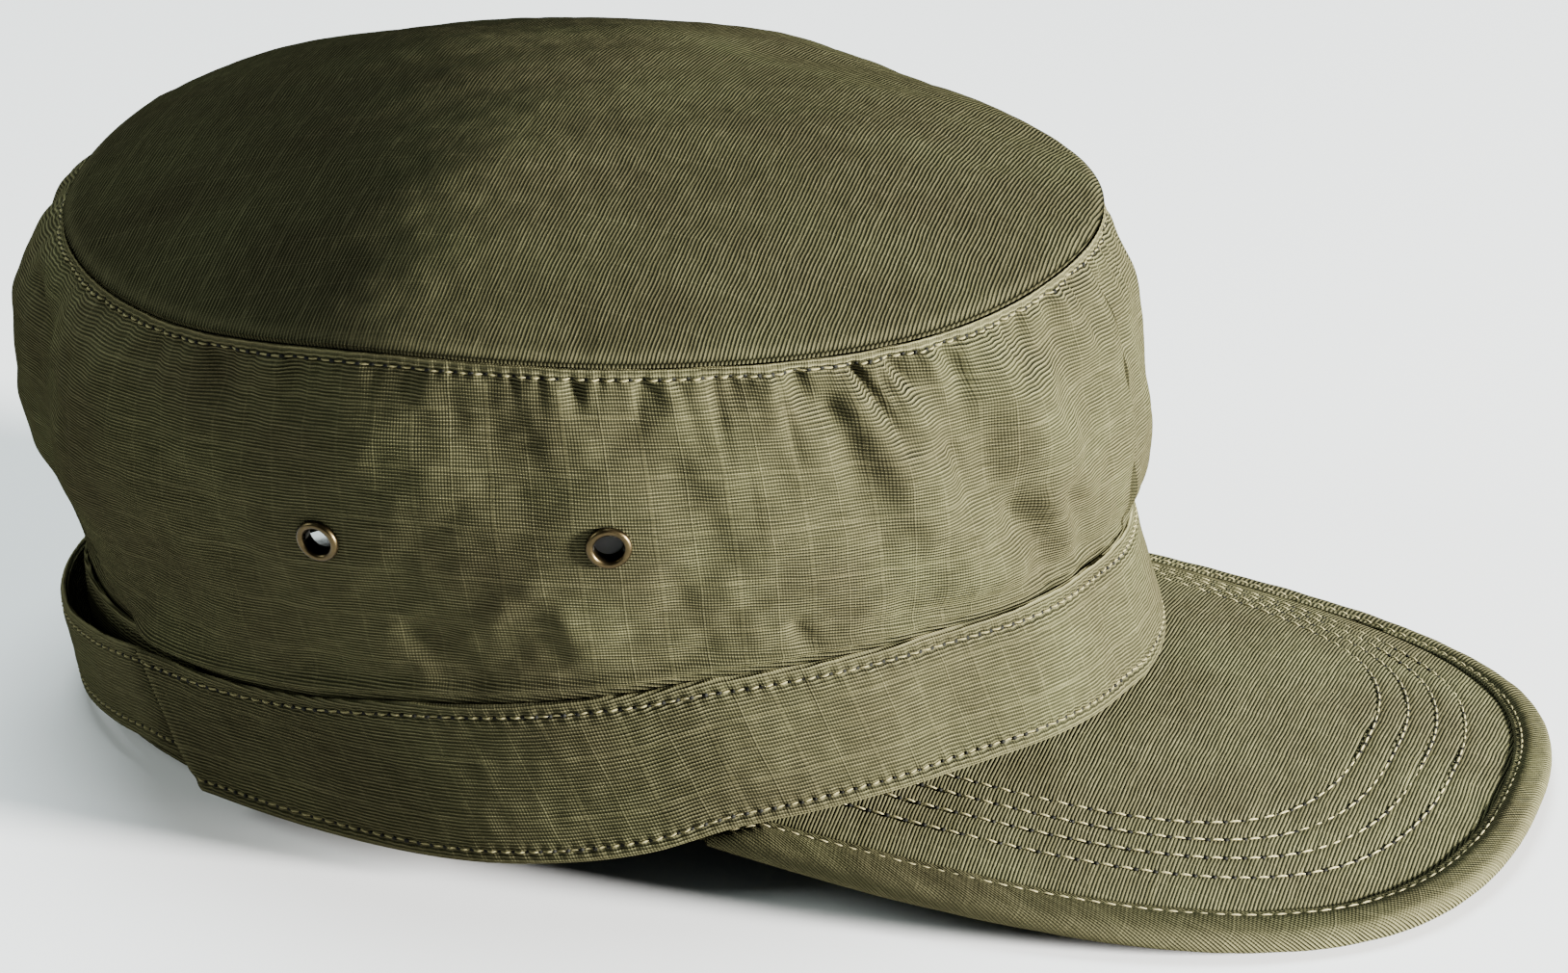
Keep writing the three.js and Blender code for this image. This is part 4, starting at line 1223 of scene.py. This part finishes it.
def band(looks):
    lap = rim_lap(2 * SLIT_TURN)

    def turn_at(place, rise):
        return (2 * place - 1) * (SLIT_TURN - SLIT_SLANT * (1 - rise))

    def point_at(place, rise, offset):
        return band_point(turn_at(place, rise), rise, offset)

    def height(place):
        return BAND_HEIGHT * table(BAND_HEIGHTS, "share", turn_at(place, 0.5))

    def form(place, rise):
        to_end = lap * (0.5 - np.abs(place - 0.5))
        lift = SLIT_LIFT * np.exp(-to_end / 4) * (0.35 + 0.65 * rise)
        # The cut ends of the band get a painted highlight
        return lift, SLIT_END_HIGHLIGHT * bell(to_end, 0.8)

    insets = (STITCH_INSET, -STITCH_INSET)
    strip("band", "band", 900, 41, lap, height, BAND_CLOTH, point_at, form, insets, looks)


def rear_band(looks):
    start = SLIT_TURN - SLIT_SLANT + 1
    sweep = 360 - 2 * start

    def point_at(place, rise, offset):
        turn = start + sweep * place
        return band_point(turn, rise, offset - draw_in(turn))

    def height(place):
        return BAND_HEIGHT * table(BAND_HEIGHTS, "share", start + sweep * place)

    def form(place, rise):
        return 0, REAR_BAND_SHADE * smooth_step(0.1, 0.3, rise) * (1 - smooth_step(0.8, 0.9, rise))

    lap = rim_lap(sweep)
    insets = (STITCH_INSET,)
    strip("rear_band", "rear_band", 260, 51, lap, height, BAND_CLOTH, point_at, form, insets, looks)


def rear_strap(looks):
    sweep = 360 - 2 * STRAP_TUCK_TURN
    lap = rim_lap(sweep)

    def point_at(place, rise, offset):
        turn = STRAP_TUCK_TURN + sweep * place
        shown = np.maximum(folded(turn), STAND_OFFS["turn"][0])
        share = table(STAND_OFFS, "share", shown)
        stand = -(BAND_CLOTH + GAP) * (1 - share) + STRAP_STAND_OFF * share
        stand = stand + STRAP_LEAN * share * (rise - 0.5) + offset
        low = rim_height(turn)
        middle = (low + band_top_height(turn) - band_top_height(np.array(180.0))) / 2
        foot = STRAP_FOOT_HEIGHT * table(STAND_OFFS, "foot", shown) + np.maximum(middle, 0)
        high = foot + STRAP_WIDTH * rise
        return band_point(turn, (high - low) / (band_top_height(turn) - low), stand)

    def height(place):
        return STRAP_WIDTH + 0 * place

    def form(place, rise):
        turn = folded(STRAP_TUCK_TURN + sweep * place)
        # Painted light lightens the strap away from the slit, and a painted shadow darkens it where it
        # goes under the band's end
        past = (turn - SLIT_TURN + SLIT_SLANT * (0.85 - 0.7 * rise)) * lap / sweep
        slit_shadow = bell(np.maximum(past - 2.5 - 3.5 * rise, 0), 2.4)
        shade = STRAP_PAINTED_LIGHT * smooth_step(7, 15, past) + STRAP_SHADE * slit_shadow
        return -STRAP_DIP * bell(past, 8), shade

    insets = (STITCH_INSET, -STITCH_INSET)
    strip("strap", "rear_strap", 300, 61, lap, height, STRAP_CLOTH, point_at, form, insets, looks)


# The peak


def bezier(points, share):
    a, b, c, d = (np.asarray(point, float) for point in points)
    s = share[:, None]
    return a * (1 - s) ** 3 + 3 * b * s * (1 - s) ** 2 + 3 * c * s**2 * (1 - s) + d * s**3


def peak_edge_table():
    """Outer edge from the right corner to the middle of the front, and its share of length so far."""
    offset = PEAK_CORNER_SPREAD - BAND_CLOTH - GAP - PEAK_TUCK
    corner = band_point(np.array(PEAK_CORNER_TURN), np.array(0.0), offset)
    tip_y = -RIM_LENGTH / 2 - PEAK_REACH
    side_y = corner[1] + PEAK_SIDE_SHARE * (tip_y - corner[1])
    start = (corner[0], corner[1], peak_root(np.array(1.0))[2])
    bend = (corner[0] * PEAK_SIDE_BOW, side_y, PEAK_EDGE_HEIGHT)
    front = (corner[0] * PEAK_FRONT_SHARE, tip_y, PEAK_FRONT_HEIGHT)
    tip = (0, tip_y, PEAK_TIP_HEIGHT)
    curve = bezier((start, bend, front, tip), np.linspace(0, 1, 2001))
    run = lengths_along(curve)
    return curve, run / run[-1]


def corner_share(place):
    return np.abs(place) ** CORNER_SHARPNESS


def peak_root(place):
    turn = place * PEAK_CORNER_TURN
    point = band_point(turn, 0 * place, -BAND_CLOTH - GAP - PEAK_TUCK)
    seat = PEAK_THICKNESS / 2 + PEAK_SEAT_GAP
    point[..., 2] = rim_height(turn) - seat + PEAK_CORNER_RISE * corner_share(place)
    return point


class PeakFrame:
    """Edge, root and directions of the peak at places from -1, the left corner, to 1, the right."""

    def __init__(self, places):
        curve, share = peak_edge_table()
        self.place = places
        self.edge = self.edge_at(curve, share, places)
        step = 0.01
        along = self.edge_at(curve, share, np.minimum(places + step, 1))
        along = unit(along - self.edge_at(curve, share, np.maximum(places - step, -1)))
        ray = peak_root(places) - self.edge
        self.run = np.linalg.norm(ray, axis=-1)
        self.inward = ray / self.run[:, None]
        slant = np.cross(along, self.inward)
        self.slant = np.linalg.norm(slant, axis=-1)
        up = slant / self.slant[:, None]
        self.up = np.where(up[:, 2:] < 0, -up, up)
        self.full = self.run * self.slant
        self.thin = 1 - PEAK_CORNER_THINNING * corner_share(places)

    @staticmethod
    def edge_at(curve, share, places):
        point = np.stack([np.interp(1 - np.abs(places), share, curve[:, k]) for k in range(3)], axis=-1)
        point[places < 0, 0] *= -1
        return point

    def point(self, inset, height):
        """Points at distances in from the edge and heights through the peak: places by insets."""
        distance = inset / self.slant[:, None]
        swell = np.sin(math.pi * distance / self.run[:, None]) * (1 - self.place[:, None] ** 2)
        point = self.edge[:, None] + self.inward[:, None] * distance[..., None]
        point[..., 2] += PEAK_ARCH * swell
        return point + self.up[:, None] * ((height + 0 * distance) * self.thin[:, None])[..., None]

    def row(self, inset, height):
        """Path at one distance in from the edge and at one height."""
        return self.point(inset + 0 * self.run[:, None], height)[:, 0]

    def binding_depth(self):
        return np.minimum(BINDING_DEPTH, self.full - GAP)[:, None]


def peak(cloth, thread, hole):
    places = np.linspace(-1, 1, PEAK_COLUMNS)
    here = PeakFrame(places)
    full = here.full[:, None]
    start = np.minimum(BINDING_CLOTH + GAP, full / 2)
    inset = start + (full - start) * np.linspace(0, 1, PEAK_LINES)
    along = lengths_along(here.edge)[:, None]
    relief = 0 * inset
    for distance, reach in PEAK_ROWS:
        shown = 1 - smooth_step(reach, reach + 0.05, np.abs(places))[:, None]
        pucker = 0.08 * np.cos(math.tau * along / PEAK_STITCH[0]) * bell(inset - distance, 1.0)
        relief = relief - PEAK_GROOVE * bell(inset - distance, 0.8) * shown + pucker * shown
    base = here.point(inset, 0)
    past_binding = smooth_step(BINDING_DEPTH, BINDING_DEPTH + 8, inset)
    uneven = wander(71, 9, 14, 50)(base[..., 0], base[..., 1])
    relief = relief + PEAK_UNEVEN * uneven * past_binding
    from_binding = inset - here.binding_depth()
    upper = here.point(inset, PEAK_THICKNESS / 2 + relief - 0.1 * bell(from_binding - 0.4, 0.5))
    lower = here.point(inset, -PEAK_THICKNESS / 2 + 0.3 * relief)
    # Painted shadow along the binding's inner edge
    wear_and_painted_light = HIDDEN_SHADE * bell(from_binding, 0.4)
    settle(cloth_object("peak_cloth", upper, lower, base[..., :2], False, cloth, wear_and_painted_light), "cloth", "peak")

    rows = []
    holes = []
    for distance, reach in PEAK_ROWS:
        line = PeakFrame(np.linspace(-reach, reach, PEAK_ROW_POINTS))
        path = line.row(distance, PEAK_THICKNESS / 2 - 0.22)
        under = line.row(distance, -PEAK_THICKNESS / 2 - 0.02)
        rows += [stitch_row(path, line.up, PEAK_STITCH), stitch_row(under, -line.up, PEAK_STITCH)]
        holes.append(needle_holes(path, line.up, PEAK_STITCH[0]))
    settle_rows("peak", rows, holes, thread, hole)


def binding_dip(away):
    """How far the binding is drawn down to the peak, by the distance from its inner edge."""
    return BINDING_DIP * (1 - smooth_step(0, BINDING_DIP_REACH, away))


def peak_binding(cloth, thread):
    here = PeakFrame(BINDING_END * np.linspace(-1, 1, BINDING_COLUMNS))
    depth = here.binding_depth()
    half = PEAK_THICKNESS / 2 + GAP
    outside = half + BINDING_CLOTH
    lap = lengths_along(here.edge)[:, None]
    # The section runs from the upper inner edge, round the nose, to the lower inner edge
    flat = np.linspace(1, 0, 22)[:-1]
    bend = np.linspace(0, math.pi, 19)
    nose = 0.8 * outside
    flat_inset = nose + (depth - nose) * flat
    bend_inset = nose - nose * np.sin(bend) + 0 * depth
    inset = np.concatenate([flat_inset, bend_inset, flat_inset[:, ::-1]], axis=1)
    level = outside + 0 * flat_inset
    height = np.concatenate([level, outside * np.cos(bend) + 0 * depth, -level], axis=1)
    under_girth = depth - nose + outside * math.pi + (flat_inset[:, ::-1] - nose)
    girth = np.concatenate([depth - flat_inset, depth - nose + outside * bend, under_girth], axis=1)
    away = np.abs(depth - inset)
    side = np.where(height > 0, 1, -1)
    puff = BINDING_PUFF * bell(inset - depth * 0.45, 2.4) * (0.75 + 0.25 * side)
    row = away - BINDING_STITCH_INSET
    groove = 0.1 * np.cos(math.tau * lap / BINDING_STITCH[0]) * bell(row, 0.9) - 0.25 * bell(row, 0.45)
    roll = -edge_roll(away, 0.45) - binding_dip(away)
    uneven = BINDING_UNEVEN * wander(81, 8, 6, 26)(lap + 0 * inset, inset)
    swell = (puff + groove + roll + uneven) * side
    outer = here.point(inset, height + swell * np.abs(np.clip(height / outside, -1, 1)))
    inner_inset = np.where(inset < nose, nose - (nose - inset) * 0.45, inset)
    sag = 0.22 * (1 - smooth_step(0, BINDING_DIP_REACH, away)) * np.sign(height)
    inner = here.point(inner_inset, height * (half - 0.05) / outside - sag)
    uvs = np.stack([lap + 0 * girth, girth], axis=-1)
    wear_and_painted_light = 0.5 * bell(inset, 1.6) + 0.3 * bell(away, 0.35)
    piece = cloth_object("binding_cloth", outer, inner, uvs, False, cloth, wear_and_painted_light)
    settle(piece, "cloth", "peak_binding")

    inside = slice(10, -10)
    row_height = outside - binding_dip(BINDING_STITCH_INSET) - 0.14
    rows = []
    for way in (1, -1):
        path = here.row(depth - BINDING_STITCH_INSET, way * row_height)
        rows.append(stitch_row(path[inside], way * here.up[inside], BINDING_STITCH))
    settle(stitch_object("binding_stitches", rows, thread), "cloth")


# Eyelets


def eyelet(name, turn, material):
    """Turned brass eyelet with a rounded flange outside and a flat one inside."""
    point, normal = eyelet_seat(turn)
    bore = EYELET_BORE / 2
    rim = EYELET_DIAMETER / 2
    barrel = bore + EYELET_METAL
    low = -WALL_CLOTH - 0.35
    crown = (rim + bore) / 2
    profile = [(rim, FLANGE_SEAT), (rim + 0.02, FLANGE_SEAT + 0.25)]
    for step in range(9):
        angle = math.pi * step / 8
        rise = FLANGE_SEAT + 0.35 + 0.62 * math.sin(angle)
        profile.append((crown + (rim - bore) / 2 * math.cos(angle), rise))
    profile += [(bore - 0.02, FLANGE_SEAT - 0.2), (bore, low - 0.3), (bore + 0.2, low - EYELET_METAL)]
    profile += [(rim - 0.15, low - EYELET_METAL), (rim, low - 0.3), (rim - 0.1, low)]
    profile += [(barrel, low), (barrel, FLANGE_SEAT)]
    across = Vector(normal).orthogonal().normalized()
    other = Vector(normal).cross(across)
    points = []
    for angle in ring_angles(EYELET_SIDES):
        ray = np.array(across) * math.cos(angle) + np.array(other) * math.sin(angle)
        points += [point + ray * radius + normal * height for radius, height in profile]
    size = len(profile)
    faces = []
    for i in range(EYELET_SIDES):
        here = i * size
        next_ring = (i + 1) % EYELET_SIDES * size
        for j in range(size):
            after = (j + 1) % size
            faces.append((here + j, next_ring + j, next_ring + after, here + after))
    settle(face_out(make_object(name + "_metal", points, faces, material)), "brass", name)


# Scene


def camera():
    """Camera that was fitted to the photograph: lens, direction, distance and the point it looks at."""
    data = bpy.data.cameras.new("view")
    data.sensor_width = 36.0
    data.lens = 109.8
    data.clip_start = 0.05
    data.clip_end = 30
    azimuth = math.radians(-71.54)
    elevation = math.radians(22.26)
    roll = math.radians(0.49)
    distance = 868.0
    aim = np.array([6.67, -30.33, 42.45])
    level = math.cos(elevation)
    back = np.array([math.sin(azimuth) * level, -math.cos(azimuth) * level, math.sin(elevation)])
    right = np.array([math.cos(azimuth), math.sin(azimuth), 0])
    up = np.cross(back, right)
    turned_right = right * math.cos(roll) + up * math.sin(roll)
    turned_up = up * math.cos(roll) - right * math.sin(roll)
    place = (aim + SHIFT + back * distance) * MM
    view = bpy.data.objects.new("view", data)
    basis = Matrix((turned_right, turned_up, back)).transposed().to_4x4()
    view.matrix_world = Matrix.Translation(Vector(place)) @ basis
    bpy.context.scene.collection.objects.link(view)
    bpy.context.scene.camera = view


def floor():
    mesh = bpy.data.meshes.new("floor")
    corners = [(x * FLOOR_REACH, y * FLOOR_REACH, 0) for x, y in ((-1, -1), (1, -1), (1, 1), (-1, 1))]
    mesh.from_pydata(corners, [], [(0, 1, 2, 3)])
    graph = Graph("floor")
    graph.put(graph.shader, Base_Color=(0.7, 0.7, 0.7), Roughness=0.9)
    mesh.materials.append(graph.material)
    piece = bpy.data.objects.new("floor", mesh)
    bpy.context.scene.collection.objects.link(piece)
    piece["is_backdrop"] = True


def lights():
    for name, place, size, power, colour in LIGHTS:
        data = bpy.data.lights.new(name, "AREA")
        data.shape = "DISK"
        data.size = size
        data.energy = power
        data.color = colour
        light = bpy.data.objects.new(name, data)
        light.location = place
        light.rotation_euler = (Vector(LIGHT_AIM) - Vector(place)).to_track_quat("-Z", "Y").to_euler()
        bpy.context.scene.collection.objects.link(light)
    world = bpy.data.worlds.new("studio")
    world.use_nodes = True
    background = world.node_tree.nodes["Background"]
    background.inputs["Color"].default_value = (*WORLD_COLOUR, 1)
    background.inputs["Strength"].default_value = WORLD_STRENGTH
    bpy.context.scene.world = world


def find_shift():
    """From the cap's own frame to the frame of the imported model, in millimetres."""
    low, high = (np.array(corner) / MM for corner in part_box("crown_top"))
    return np.array([(low[0] + high[0]) / 2, low[1] + CROWN_LENGTH / 2 - CROWN_SET_BACK, 0.0])


SHIFT = find_shift()

THREAD = thread_material("olive_thread", THREAD_COLOUR)
LIT_THREAD = thread_material("lit_thread", LIT_THREAD_COLOUR)
HOLE_SHADE = thread_material("needle_hole_shade", HOLE_SHADE_COLOUR)
BRASS = brass_material()

crown_top(cloth_material("top_ripstop_painted_shade", TOP_RIB_ANGLE, TOP_PAINTED_SHADE_TINTS))
crown_wall(cloth_material("wall_ripstop"), THREAD, HOLE_SHADE)
band((cloth_material("band_ripstop"), THREAD, HOLE_SHADE))
rear_band((cloth_material("rear_band_ripstop"), THREAD, HOLE_SHADE))
rear_strap((cloth_material("strap_ripstop"), THREAD, HOLE_SHADE))
peak(cloth_material("peak_ripstop"), LIT_THREAD, HOLE_SHADE)
peak_binding(cloth_material("binding_ripstop", BINDING_RIB_ANGLE), LIT_THREAD)
for eyelet_name, eyelet_turn in eyelet_turns().items():
    eyelet(eyelet_name, eyelet_turn, BRASS)

camera()
floor()
lights()

boxes = {"cad": CAD_BOX, "visual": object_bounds()}
{name: [list(map(float, corner)) for corner in box] for name, box in boxes.items()}
